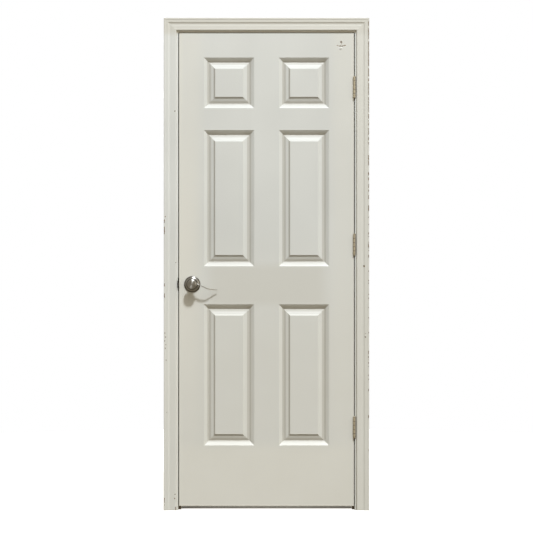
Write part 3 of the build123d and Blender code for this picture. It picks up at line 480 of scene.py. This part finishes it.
def plated_steel_finish(name, colour, tarnish):
    """Zinc plate with a cloudy film and rub marks."""
    sheet = FinishSheet(name)
    cloud = sheet.noise(120.0, detail=4.0, roughness=0.6)
    tone = sheet.mix(sheet.ramp(cloud, 0.35, 0.75), shade(colour, 1.1), shade(colour, 0.6))
    joints = sheet.ramp(sheet.corners(reach=0.003), 0.3, 0.9, top=0.7)
    tone = sheet.mix(joints, tone, tarnish)
    sheet.set(Base_Color=tone, Metallic=1.0, Roughness=sheet.between(cloud, 0.28, 0.53))
    rub = sheet.noise(1.0, detail=2.0, stretch=(1200.0, 1200.0, 60.0))
    sheet.set(Normal=sheet.bump(rub, distance=0.00003, strength=0.4))
    return sheet


def card_finish(name):
    """Grey-brown core board."""
    sheet = FinishSheet(name)
    pulp = sheet.noise(180.0, detail=5.0, roughness=0.65)
    tone = sheet.mix(sheet.ramp(pulp, 0.3, 0.7), (0.34, 0.26, 0.17), (0.24, 0.18, 0.11))
    sheet.set(Base_Color=tone, Roughness=0.9, Normal=sheet.bump(pulp, distance=0.0004, strength=0.5))
    return sheet


def dress(names, finish):
    """Give CAD pieces one finish."""
    for name in names:
        mesh = NODES[name].data
        mesh.materials.clear()
        mesh.materials.append(finish.material)


def dress_faces(name, usual, other, takes_other):
    """Give a CAD piece two finishes: the other one where a face's middle and direction ask for it."""
    mesh = NODES[name].data
    mesh.materials.clear()
    mesh.materials.append(usual.material)
    mesh.materials.append(other.material)
    for face in mesh.polygons:
        face.material_index = int(takes_other(face.center, face.normal))


def on_shaded_shoulder(middle, normal):
    """Whether a face is on the shoulder of a raised field, on the sides that face away from the light, where
    shade is painted.
    """
    if normal.z > -FACING_AWAY and normal.x > -FACING_AWAY:
        return False
    across = PANEL_WIDTH / 2 - abs(abs(middle.x) - PANEL_MIDDLE)
    for foot, height in PANEL_ROWS:
        inset = min(across, middle.z - foot, foot + height - middle.z)
        if SHOULDER[0] < inset < SHOULDER[1]:
            return True
    return False


class DOOR_OT_paint_slab(bpy.types.Operator):
    """Paint the slab's skins and edges, with painted shade on the field shoulders facing away from the light,
    and leave its top and foot as bare wood
    """

    bl_idname = "door.paint_slab"
    bl_label = "Paint Slab"

    def execute(self, context):
        paint = context.scene.door_paint
        skin = painted_finish("slab paint", paint.slab_colour, paint, wear_and_shading=slab_wear_and_shading)
        # Darker paint on the field shoulders that face down or left, away from the light: painted shade
        shaded_shoulder_paint = painted_finish("slab paint with painted shade under the fields", yellowed(paint.slab_colour, 0.74), paint)
        raw = bare_wood_finish("slab edge wood", paint.wood_colour, "X")
        for name in SLAB_SKINS:
            dress_faces(name, skin, shaded_shoulder_paint, on_shaded_shoulder)
        for name in SLAB_EDGES:
            dress_faces(name, skin, raw, lambda middle, normal: abs(normal.z) > FACING)
        return {"FINISHED"}


class DOOR_OT_paint_trim(bpy.types.Operator):
    """Paint the casing, jambs and stops, with painted shade on the stops' faces toward the slab and bare wood
    on the faces against the wall
    """

    bl_idname = "door.paint_trim"
    bl_label = "Paint Trim"

    def execute(self, context):
        paint = context.scene.door_paint
        trim = painted_finish("trim paint", paint.trim_colour, paint, wear_and_shading=trim_wear)
        jamb = painted_finish("jamb paint", paint.trim_colour, paint, wear_and_shading=jamb_wear_and_shading, corner_dirt_and_shade=False)
        # Dark paint on the stops' faces toward the slab: painted shade in the gap
        shaded_stop_face = painted_finish("stop face in painted shade", shade(paint.grime_colour, 0.40), paint)
        upright = bare_wood_finish("upright jamb wood", paint.wood_colour, "Z")
        level = bare_wood_finish("level jamb wood", paint.wood_colour, "X")
        for name in STOPS:
            dress_faces(name, trim, shaded_stop_face, lambda middle, normal: normal.y < -FACING)
        for name in UPRIGHT_JAMBS:
            back = max(abs(edge.x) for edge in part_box(name)) - ON_PLANE
            dress_faces(
                name, jamb, upright,
                lambda middle, normal, back=back: abs(middle.x) > back or abs(normal.z) > FACING,
            )
        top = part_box("head_jamb")[1].z - ON_PLANE
        dress_faces("head_jamb", jamb, level, lambda middle, normal: middle.z > top or abs(normal.x) > FACING)
        for name in CASINGS:
            dress_faces(
                name, trim, level if name == "head_casing" else upright,
                lambda middle, normal: normal.y > FACING or (normal.z < -SQUARE and middle.z < ON_FLOOR),
            )
        return {"FINISHED"}


class DOOR_OT_dress_hinges(bpy.types.Operator):
    """Finish the three butt hinges, their pins and their screws"""

    bl_idname = "door.dress_hinges"
    bl_label = "Dress Hinges"

    def execute(self, context):
        brass = dull_brass_finish("dull brass", context.scene.door_metal)
        dress(HINGE_LEAVES + HINGE_PINS + HINGE_SCREWS, brass)
        return {"FINISHED"}


class DOOR_OT_dress_lever_set(bpy.types.Operator):
    """Finish the levers and roses in turned and brushed nickel"""

    bl_idname = "door.dress_lever_set"
    bl_label = "Dress Lever Set"

    def execute(self, context):
        metal = context.scene.door_metal
        dress(LEVERS, brushed_nickel_finish("brushed nickel lever", metal, straight_from=HUB_RADIUS))
        dress(ROSES, brushed_nickel_finish("turned nickel rose", metal))
        return {"FINISHED"}


class DOOR_OT_dress_latch(bpy.types.Operator):
    """Finish the latch and small fixings in plated steel, and the strike in darkened steel"""

    bl_idname = "door.dress_latch"
    bl_label = "Dress Latch"

    def execute(self, context):
        metal = context.scene.door_metal
        steel = plated_steel_finish("plated steel", metal.steel_colour, metal.tarnish_and_shade_colour)
        dress(LATCH_PIECES + SMALL_FIXINGS, steel)
        dark_colour = shade(metal.steel_colour, 0.16)
        dress(("strike_plate",), plated_steel_finish("darkened strike", dark_colour, metal.tarnish_and_shade_colour))
        return {"FINISHED"}


class DOOR_OT_dress_core(bpy.types.Operator):
    """Finish the lock block and core strips inside the slab"""

    bl_idname = "door.dress_core"
    bl_label = "Dress Core"

    def execute(self, context):
        paint = context.scene.door_paint
        dress(("core_strips",), card_finish("core board"))
        dress(("lock_block",), bare_wood_finish("lock block wood", paint.wood_colour, "Z"))
        return {"FINISHED"}


# Thin pieces: how far they stand off the surface, and where in front of the door the search for it starts
LIFT = 0.00006
IN_FRONT = -0.2
# Shares that a ragged outline's reach, and a worn strip's width and shift, are drawn from
RAGGED_REACH = (0.55, 1.15)
STRIP_WIDTHS = (0.45, 1.0)
STRIP_SHIFTS = (-0.15, 0.15)
# Points across a worn strip, and the steps along it
STRIP_POINTS = (-1.0, -0.5, 0.0, 0.5, 1.0)
STRIP_STEP = 0.004


def surface_finder(name):
    """Way to find where a CAD piece's front surface is, straight in from a place in front of it."""
    mesh = NODES[name].data
    tree = BVHTree.FromPolygons([v.co for v in mesh.vertices], [p.vertices for p in mesh.polygons])

    def find(x, z):
        place, normal, _face, _distance = tree.ray_cast(Vector((x, IN_FRONT, z)), Vector((0.0, 1.0, 0.0)))
        return (place, normal) if place is not None else None

    return find


def ragged_outline(draws, width, height, count):
    """Uneven round outline about a middle, as steps sideways and up."""
    outline = []
    for index in range(count):
        angle = 2 * math.pi * index / count
        reach = draws.uniform(*RAGGED_REACH)
        outline.append((math.cos(angle) * width / 2 * reach, math.sin(angle) * height / 2 * reach))
    return outline


def lifted(hit, lift):
    """Place a little proud of a surface, kept inside the frame's width."""
    place = hit[0] + hit[1] * lift
    place.x = max(-CASING_EDGE, min(CASING_EDGE, place.x))
    return place


def lay_patch(shape, find, x, z, outline, rise):
    """Thin patch that follows a surface inside its outline, highest at the given place."""
    hits = [find(x + step_x, z + step_z) for step_x, step_z in outline]
    hits = [hit for hit in hits if hit is not None]
    middle = find(x, z)
    if middle is None or len(hits) < 3:
        raise RuntimeError(f"no surface for a patch at x {x:.4f}, z {z:.4f}")
    ring = [shape.verts.new(lifted(hit, LIFT)) for hit in hits]
    crown = shape.verts.new(lifted(middle, LIFT + rise))
    for first, second in zip(ring, ring[1:] + ring[:1]):
        shape.faces.new((crown, first, second))


def lay_strip(shape, draws, find, x, z_span, width, cover):
    """Ragged upright strip, broken where its cover is thin."""
    z = z_span[0]
    below = None
    while z < z_span[1]:
        share = (z - z_span[0]) / (z_span[1] - z_span[0])
        half = width / 2 * draws.uniform(*STRIP_WIDTHS)
        shift = draws.uniform(*STRIP_SHIFTS) * width
        worn = draws.random() < cover[0] + (cover[1] - cover[0]) * share
        hits = [find(x + shift + half * across, z) for across in STRIP_POINTS]
        row = None
        if worn and None not in hits:
            row = [shape.verts.new(lifted(hit, LIFT)) for hit in hits]
            if below is not None:
                for left in range(len(row) - 1):
                    shape.faces.new((below[left], below[left + 1], row[left + 1], row[left]))
        below = row
        z += STRIP_STEP
    loose = [vertex for vertex in shape.verts if not vertex.link_faces]
    bmesh.ops.delete(shape, geom=loose, context="VERTS")


def finished_piece(name, shape, finish, body):
    """Turn a built shape into a piece that rides on a body."""
    bmesh.ops.recalc_face_normals(shape, faces=shape.faces)
    mesh = bpy.data.meshes.new(name)
    shape.to_mesh(mesh)
    shape.free()
    piece = bpy.data.objects.new(name, mesh)
    bpy.context.scene.collection.objects.link(piece)
    mesh.materials.append(finish.material)
    for face in mesh.polygons:
        face.use_smooth = True
    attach(piece, body)


# Chips on the casing in millimetres: place in from its outer edge, height, and the chip's width and height
STRIKE_CHIPS = (
    (47.5, 1715.0, 6.0, 6.5), (7.0, 1262.0, 5.0, 6.0), (4.0, 917.0, 4.5, 5.5), (5.0, 762.0, 4.0, 6.0),
    (7.5, 745.0, 5.0, 5.0), (4.5, 729.0, 4.0, 7.0), (9.0, 712.0, 5.5, 5.0), (6.5, 697.0, 4.0, 7.0),
    (10.0, 646.0, 4.5, 6.0), (13.0, 422.0, 3.5, 3.0), (49.0, 70.0, 6.5, 5.0), (46.5, 52.0, 6.0, 8.0),
    (3.5, 52.0, 4.0, 6.0), (51.5, 10.0, 6.0, 16.0), (52.0, 1065.0, 3.5, 5.0),
)
HINGE_CHIPS = (
    (22.5, 1050.0, 7.0, 10.0), (17.0, 746.0, 8.5, 6.5), (4.0, 1140.0, 4.0, 18.0), (4.0, 1673.0, 4.5, 10.0),
    (3.5, 659.0, 4.0, 9.0), (3.5, 581.0, 4.0, 7.0), (15.0, 760.0, 3.0, 4.0),
)
# Worn outer arris of the casing: lower and upper end in millimetres, and how closed the wear is at each
STRIKE_ARRIS = (
    (1183.0, 1252.0, 0.9, 0.9), (963.0, 976.0, 0.9, 0.9), (917.0, 934.0, 0.9, 0.9), (10.0, 57.0, 0.8, 0.7),
)
HINGE_ARRIS = ((1050.0, 1760.0, 0.45, 0.9), (1760.0, 2104.0, 0.98, 0.98), (150.0, 1050.0, 0.15, 0.45))
# Casing, its side of the doorway, its chips and its worn arris
WORN_CASINGS = (
    ("strike_casing", -1, STRIKE_CHIPS, STRIKE_ARRIS),
    ("hinge_casing", 1, HINGE_CHIPS, HINGE_ARRIS),
)
# Points round a chip, how far it stands out, and the worn arris's place in from the edge and its width
CHIP_POINTS = 11
CHIP_RISE = 0.00008
ARRIS_INSET = 0.0024
ARRIS_WIDTH = 0.0042
# Painted shadow of each barrel on the hinge jamb under each hinge: width, height, place in from the gap and
# below the leaf
HINGE_SHADOW_WIDTH = 0.003
HINGE_SHADOW_HEIGHT = 0.008
HINGE_SHADOW_INSET = 0.0016
HINGE_SHADOW_DROP = 0.004


class DOOR_OT_chip_casing(bpy.types.Operator):
    """Chip the paint off the casing's outer arrises and faces, and lay a painted shadow of each hinge barrel
    on the jamb below it
    """

    bl_idname = "door.chip_casing"
    bl_label = "Chip Casing"

    def execute(self, context):
        wood = chipped_wood_finish("chipped wood and hinge shadows", context.scene.door_paint.chip_colour)
        draws = random.Random(11)
        shape = bmesh.new()
        for name, side, chips, arris in WORN_CASINGS:
            find = surface_finder(name)
            for inset, height, width, tall in chips:
                outline = ragged_outline(draws, width / MILLIMETRES, tall / MILLIMETRES, CHIP_POINTS)
                x = side * (CASING_EDGE - inset / MILLIMETRES)
                lay_patch(shape, find, x, height / MILLIMETRES, outline, CHIP_RISE)
            x = side * (CASING_EDGE - ARRIS_INSET)
            for low, high, *cover in arris:
                span = (low / MILLIMETRES, high / MILLIMETRES)
                lay_strip(shape, draws, find, x, span, ARRIS_WIDTH, cover)
        # Painted shadow of each hinge barrel on the jamb below it
        find = surface_finder("hinge_jamb")
        for place in HINGES:
            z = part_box(f"hinge_{place}_frame_leaf")[0].z - HINGE_SHADOW_DROP
            outline = ragged_outline(draws, HINGE_SHADOW_WIDTH, HINGE_SHADOW_HEIGHT, CHIP_POINTS)
            lay_patch(shape, find, HINGE_GAP + HINGE_SHADOW_INSET, z, outline, CHIP_RISE)
        finished_piece("casing_chips_and_hinge_shadows", shape, wood, "frame")
        return {"FINISHED"}


# Vertices this near to each other belong to one nail; nails of the head casing are this near to the middle
NAIL_REACH = 0.004
HEAD_NAIL_REACH = 0.38
# Filler: least and greatest size, points round it, and how far it stands out
FILLER_SIZES = (0.0045, 0.0065)
FILLER_POINTS = 12
FILLER_RISE = 0.00022


def nail_places():
    """Middle of each nail through the casing, across and up."""
    nails = []
    for vertex in NODES["casing_nails"].data.vertices:
        spot = Vector((vertex.co.x, vertex.co.z))
        nail = next((nail for nail in nails if (nail[0] - spot).length < NAIL_REACH), None)
        if nail is None:
            nails.append([spot])
        else:
            nail.append(spot)
    middles = [sum(nail, Vector((0.0, 0.0))) / len(nail) for nail in nails]
    return sorted((round(x, 4), round(z, 4)) for x, z in middles)


class DOOR_OT_fill_nails(bpy.types.Operator):
    """Dab filler over the nails in the casing"""

    bl_idname = "door.fill_nails"
    bl_label = "Fill Nails"

    def execute(self, context):
        paint = context.scene.door_paint
        colour = shade(paint.trim_colour, 0.97)
        filler = painted_finish("filled nail paint", colour, paint, corner_dirt_and_shade=False)
        draws = random.Random(5)
        finders = {name: surface_finder(name) for name in CASINGS}
        shape = bmesh.new()
        for x, z in nail_places():
            name = "hinge_casing" if x > 0 else "strike_casing"
            if z > HEAD_LOW and abs(x) < HEAD_NAIL_REACH:
                name = "head_casing"
            size = draws.uniform(*FILLER_SIZES)
            outline = ragged_outline(draws, size, size, FILLER_POINTS)
            lay_patch(shape, finders[name], x, z, outline, FILLER_RISE)
        finished_piece("nail_filler", shape, filler, "frame")
        return {"FINISHED"}


# Torn skin near the slab's upper corner: a hole, a tear down from it, and a crease to both sides of its end
TORN_BOARD = (0.27, 0.19, 0.115)
TEAR_X = SLAB_HIGH.x - 0.055
TEAR_POINTS = 7
HOLE_Z = SLAB_HIGH.z - 0.038
HOLE_RADIUS = 0.0036
HOLE_BITS = 9
HOLE_BIT_SIZE = (0.0026, 0.0032)
TEAR_BITS = 5
TEAR_BIT_SIZE = (0.0018, 0.0034)
TEAR_START, TEAR_STEP, TEAR_WANDER = 0.006, 0.002, 0.0008
CREASE_Z = SLAB_HIGH.z - 0.056
CREASE_BITS = 8
CREASE_BIT_SIZE = (0.0048, 0.0046)
CREASE_START, CREASE_STEP, CREASE_SLOPE, CREASE_WANDER = 0.002, 0.0023, 0.2, 0.0012
# How far the bits of hole and crease stand out, and those of the tear
BIT_RISE = 0.00025
TEAR_RISE = 0.0002
# Flake of paint that stands off the skin below the crease, highest near its lower edge, lighter than the slab
# as a painted highlight
FLAKE_HIGHLIGHT_COLOUR = (0.93, 0.93, 0.91)
FLAKE_SIZE = (0.019, 0.011)
FLAKE_POINTS = 13
FLAKE_SHIFT = 0.004
FLAKE_DROP = 0.013
FLAKE_OVERHANG = 0.003
FLAKE_RISE = 0.0009


class DOOR_OT_tear_skin(bpy.types.Operator):
    """Show torn board where a hook was pulled out of the slab's upper corner"""

    bl_idname = "door.tear_skin"
    bl_label = "Tear Skin"

    def execute(self, context):
        board = chipped_wood_finish("torn board", TORN_BOARD)
        draws = random.Random(23)
        find = surface_finder("front_skin")
        shape = bmesh.new()
        for index in range(HOLE_BITS):
            angle = 2 * math.pi * index / HOLE_BITS
            x, z = TEAR_X + math.cos(angle) * HOLE_RADIUS, HOLE_Z + math.sin(angle) * HOLE_RADIUS
            lay_patch(shape, find, x, z, ragged_outline(draws, *HOLE_BIT_SIZE, TEAR_POINTS), BIT_RISE)
        for index in range(TEAR_BITS):
            x = TEAR_X + draws.uniform(-TEAR_WANDER, TEAR_WANDER)
            z = HOLE_Z - TEAR_START - index * TEAR_STEP
            lay_patch(shape, find, x, z, ragged_outline(draws, *TEAR_BIT_SIZE, TEAR_POINTS), TEAR_RISE)
        for side in (-1, 1):
            for index in range(CREASE_BITS):
                along = CREASE_START + index * CREASE_STEP
                wander = draws.uniform(-CREASE_WANDER, CREASE_WANDER)
                x, z = TEAR_X + side * along, CREASE_Z + along * CREASE_SLOPE + wander
                lay_patch(shape, find, x, z, ragged_outline(draws, *CREASE_BIT_SIZE, TEAR_POINTS), BIT_RISE)
        finished_piece("torn_board", shape, board, "door")
        paint = painted_finish("lifted paint with painted highlight", FLAKE_HIGHLIGHT_COLOUR, context.scene.door_paint, corner_dirt_and_shade=False)
        shape = bmesh.new()
        outline = ragged_outline(draws, *FLAKE_SIZE, FLAKE_POINTS)
        outline = [(across, up + FLAKE_OVERHANG) for across, up in outline]
        lay_patch(shape, find, TEAR_X - FLAKE_SHIFT, CREASE_Z - FLAKE_DROP, outline, FLAKE_RISE)
        finished_piece("lifted_paint", shape, paint, "door")
        return {"FINISHED"}


# Floor: its size, the strip behind the slab that hardly glows as a painted shadow, its colours, its glow and
# what the strip loses
FLOOR_RADIUS = 4.0
FLOOR_SEGMENTS = 96
BEHIND_SIDES = (SLAB_HIGH.x + 0.008, SLAB_HIGH.x)
BEHIND_FRONT = (0.055, 0.070)
BEHIND_BACK = (0.9, 0.3)
FLOOR_COLOURS = ((0.90, 0.90, 0.89), (0.94, 0.94, 0.93))
FLOOR_IN_SHADE = (0.20, 0.19, 0.18)
FLOOR_GLOW = 0.75
GLOW_BEHIND = 0.74
# Lights: what they look at, where they stand, their colours, and the area lights' power and size
DOOR_MIDDLE = Vector((0.0, 0.0, 1.05))
KEY_PLACE = DOOR_MIDDLE + Vector((0.29, -1.0, 1.41)).normalized() * 6.0
KEY_COLOUR = (0.925, 0.98, 1.05)
SIDE_PLACE = DOOR_MIDDLE + Vector((6.0, -3.6, 1.2))
SIDE_COLOUR = (1.0, 0.955, 0.84)
SIDE_SOFTNESS = math.radians(45.0)
TOP_PLACE, TOP_TARGET = (0.3, -2.0, 3.3), (0.0, 0.0, 1.8)
TOP_COLOUR, TOP_POWER, TOP_SIZE = (0.97, 0.99, 1.0), 17.0, 1.6
BACK_PLACE, BACK_TARGET = (-1.4, 3.6, 2.8), (0.0, 0.1, 1.0)
BACK_COLOUR, BACK_POWER, BACK_SIZE = (1.0, 0.99, 0.97), 150.0, 2.4
# Surroundings: colours of the ground and the sky, and the rise over which one turns into the other
GROUND_COLOUR = (1.0, 0.84, 0.58)
SKY_COLOUR = (1.0, 0.95, 0.84)
HORIZON = (-0.5, 0.6)
# Camera: width of its sensor in millimetres, and how far it sees
SENSOR_WIDTH = 36.0
CLIP_END = 100.0


def aimed(obj, target):
    """Turn a light or camera to look at a place."""
    obj.rotation_euler = (Vector(target) - obj.location).to_track_quat("-Z", "Y").to_euler()


def add_light(name, kind, place, target, **settings):
    """New light that looks at a place."""
    data = bpy.data.lights.new(name, kind)
    for setting, value in settings.items():
        setattr(data, setting, value)
    light = bpy.data.objects.new(name, data)
    bpy.context.scene.collection.objects.link(light)
    light.location = place
    aimed(light, target)
    return light


class DOOR_OT_set_stage(bpy.types.Operator):
    """Set the pale floor, studio lights, surroundings and camera"""

    bl_idname = "door.set_stage"
    bl_label = "Set Stage"

    def execute(self, context):
        stage = context.scene.door_stage
        floor = self.lay_floor()
        self.hang_lights(stage, floor)
        self.light_surroundings(stage)
        self.place_camera(stage)
        context.scene.view_settings.view_transform = "Standard"
        return {"FINISHED"}

    def lay_floor(self):
        """Round pale floor that glows, with a painted shadow behind the slab where it hardly glows, and casts
        no light on the door.
        """
        mesh = bpy.data.meshes.new("floor")
        shape = bmesh.new()
        bmesh.ops.create_circle(shape, cap_ends=True, radius=FLOOR_RADIUS, segments=FLOOR_SEGMENTS)
        shape.to_mesh(mesh)
        shape.free()
        floor = bpy.data.objects.new("floor", mesh)
        bpy.context.scene.collection.objects.link(floor)
        sheet = FinishSheet("pale floor")
        x, y, _z = sheet.axes()
        behind_slab = sheet.times(
            sheet.ramp(sheet.math("ABSOLUTE", x), *BEHIND_SIDES),
            sheet.ramp(y, *BEHIND_FRONT), sheet.ramp(y, *BEHIND_BACK),
        )
        pale = sheet.mix(sheet.noise(1.5), *FLOOR_COLOURS)
        shadow_behind_slab = sheet.times(behind_slab, sheet.ramp(sheet.corners(reach=0.3), 0.10, 0.40))
        glow = sheet.math("SUBTRACT", FLOOR_GLOW, sheet.times(behind_slab, GLOW_BEHIND))
        sheet.set(Base_Color=sheet.mix(shadow_behind_slab, pale, FLOOR_IN_SHADE), Roughness=0.8)
        sheet.set(Emission_Color=(1.0, 1.0, 1.0), Emission_Strength=glow)
        mesh.materials.append(sheet.material)
        floor.visible_diffuse = False
        floor.visible_glossy = False
        return floor

    def hang_lights(self, stage, floor):
        """Cool key light high in front, warm light from the right, and washes for the top and the back."""
        add_light(
            "key light", "SUN", KEY_PLACE, DOOR_MIDDLE,
            energy=stage.key_strength, angle=stage.key_softness, color=KEY_COLOUR,
        )
        add_light(
            "side wash", "SUN", SIDE_PLACE, DOOR_MIDDLE,
            energy=stage.side_strength, angle=SIDE_SOFTNESS, color=SIDE_COLOUR,
        )
        add_light(
            "top wash", "AREA", TOP_PLACE, TOP_TARGET,
            energy=TOP_POWER, size=TOP_SIZE, color=TOP_COLOUR,
        )
        back_wash = add_light(
            "back wash", "AREA", BACK_PLACE, BACK_TARGET,
            energy=BACK_POWER, size=BACK_SIZE, color=BACK_COLOUR,
        )
        unlit = bpy.data.collections.new("not lit by the back wash")
        unlit.objects.link(floor)
        unlit.collection_objects[0].light_linking.link_state = "EXCLUDE"
        back_wash.light_linking.receiver_collection = unlit

    def light_surroundings(self, stage):
        """Sky brighter than the ground, and white behind the door."""
        world = bpy.data.worlds.new("studio")
        bpy.context.scene.world = world
        world.use_nodes = True
        nodes, links = world.node_tree.nodes, world.node_tree.links
        nodes.clear()
        toward = nodes.new("ShaderNodeTexCoord").outputs["Generated"]
        split = nodes.new("ShaderNodeSeparateXYZ")
        links.new(toward, split.inputs[0])
        rise = nodes.new("ShaderNodeMapRange")
        rise.interpolation_type = "SMOOTHSTEP"
        links.new(split.outputs["Z"], rise.inputs["Value"])
        rise.inputs["From Min"].default_value, rise.inputs["From Max"].default_value = HORIZON
        blend = nodes.new("ShaderNodeMix")
        blend.data_type = "RGBA"
        links.new(rise.outputs[0], blend.inputs[0])
        blend.inputs[6].default_value = (*(stage.ground_strength * channel for channel in GROUND_COLOUR), 1.0)
        blend.inputs[7].default_value = (*(stage.sky_strength * channel for channel in SKY_COLOUR), 1.0)
        room = nodes.new("ShaderNodeBackground")
        links.new(blend.outputs[2], room.inputs["Color"])
        backdrop = nodes.new("ShaderNodeBackground")
        backdrop.inputs["Color"].default_value = (1.0, 1.0, 1.0, 1.0)
        path = nodes.new("ShaderNodeLightPath")
        choice = nodes.new("ShaderNodeMixShader")
        links.new(path.outputs["Is Camera Ray"], choice.inputs[0])
        links.new(room.outputs[0], choice.inputs[1])
        links.new(backdrop.outputs[0], choice.inputs[2])
        output = nodes.new("ShaderNodeOutputWorld")
        links.new(choice.outputs[0], output.inputs["Surface"])

    def place_camera(self, stage):
        """Camera square to the door."""
        data = bpy.data.cameras.new("camera")
        data.sensor_width = SENSOR_WIDTH
        data.lens = SENSOR_WIDTH * stage.camera_distance / stage.view_height
        data.clip_end = CLIP_END
        camera = bpy.data.objects.new("camera", data)
        bpy.context.scene.collection.objects.link(camera)
        camera.location = (0.0, -stage.camera_distance, stage.camera_height)
        aimed(camera, (0.0, 0.0, stage.camera_height))
        bpy.context.scene.camera = camera


class DOOR_PT_finishes(bpy.types.Panel):
    """Buttons and settings for the door's finishes"""

    bl_idname = "DOOR_PT_finishes"
    bl_label = "Door Finishes"
    bl_space_type = "VIEW_3D"
    bl_region_type = "UI"
    bl_category = "Door"

    def draw(self, context):
        for name, kind in SETTINGS.items():
            box = self.layout.box()
            for setting in kind.__annotations__:
                box.prop(getattr(context.scene, name), setting)
        for operator in OPERATORS:
            self.layout.operator(operator.bl_idname)


SETTINGS = {
    "door_paint": DoorPaintSettings,
    "door_metal": DoorMetalSettings,
    "door_stage": DoorStageSettings,
}
OPERATORS = (
    DOOR_OT_paint_slab,
    DOOR_OT_paint_trim,
    DOOR_OT_dress_hinges,
    DOOR_OT_dress_lever_set,
    DOOR_OT_dress_latch,
    DOOR_OT_dress_core,
    DOOR_OT_chip_casing,
    DOOR_OT_fill_nails,
    DOOR_OT_tear_skin,
    DOOR_OT_set_stage,
)


def register():
    """Register the settings, operators and panel."""
    for name, group in SETTINGS.items():
        bpy.utils.register_class(group)
        setattr(bpy.types.Scene, name, bpy.props.PointerProperty(type=group))
    for operator in OPERATORS:
        bpy.utils.register_class(operator)
    bpy.utils.register_class(DOOR_PT_finishes)


def unregister():
    """Take them away again."""
    bpy.utils.unregister_class(DOOR_PT_finishes)
    for operator in reversed(OPERATORS):
        bpy.utils.unregister_class(operator)
    for name, group in SETTINGS.items():
        delattr(bpy.types.Scene, name)
        bpy.utils.unregister_class(group)


def main():
    """Dress the door piece by piece and set the stage."""
    register()
    for operator in OPERATORS:
        area, name = operator.bl_idname.split(".")
        getattr(getattr(bpy.ops, area), name)()


if __name__ == "__main__":
    main()
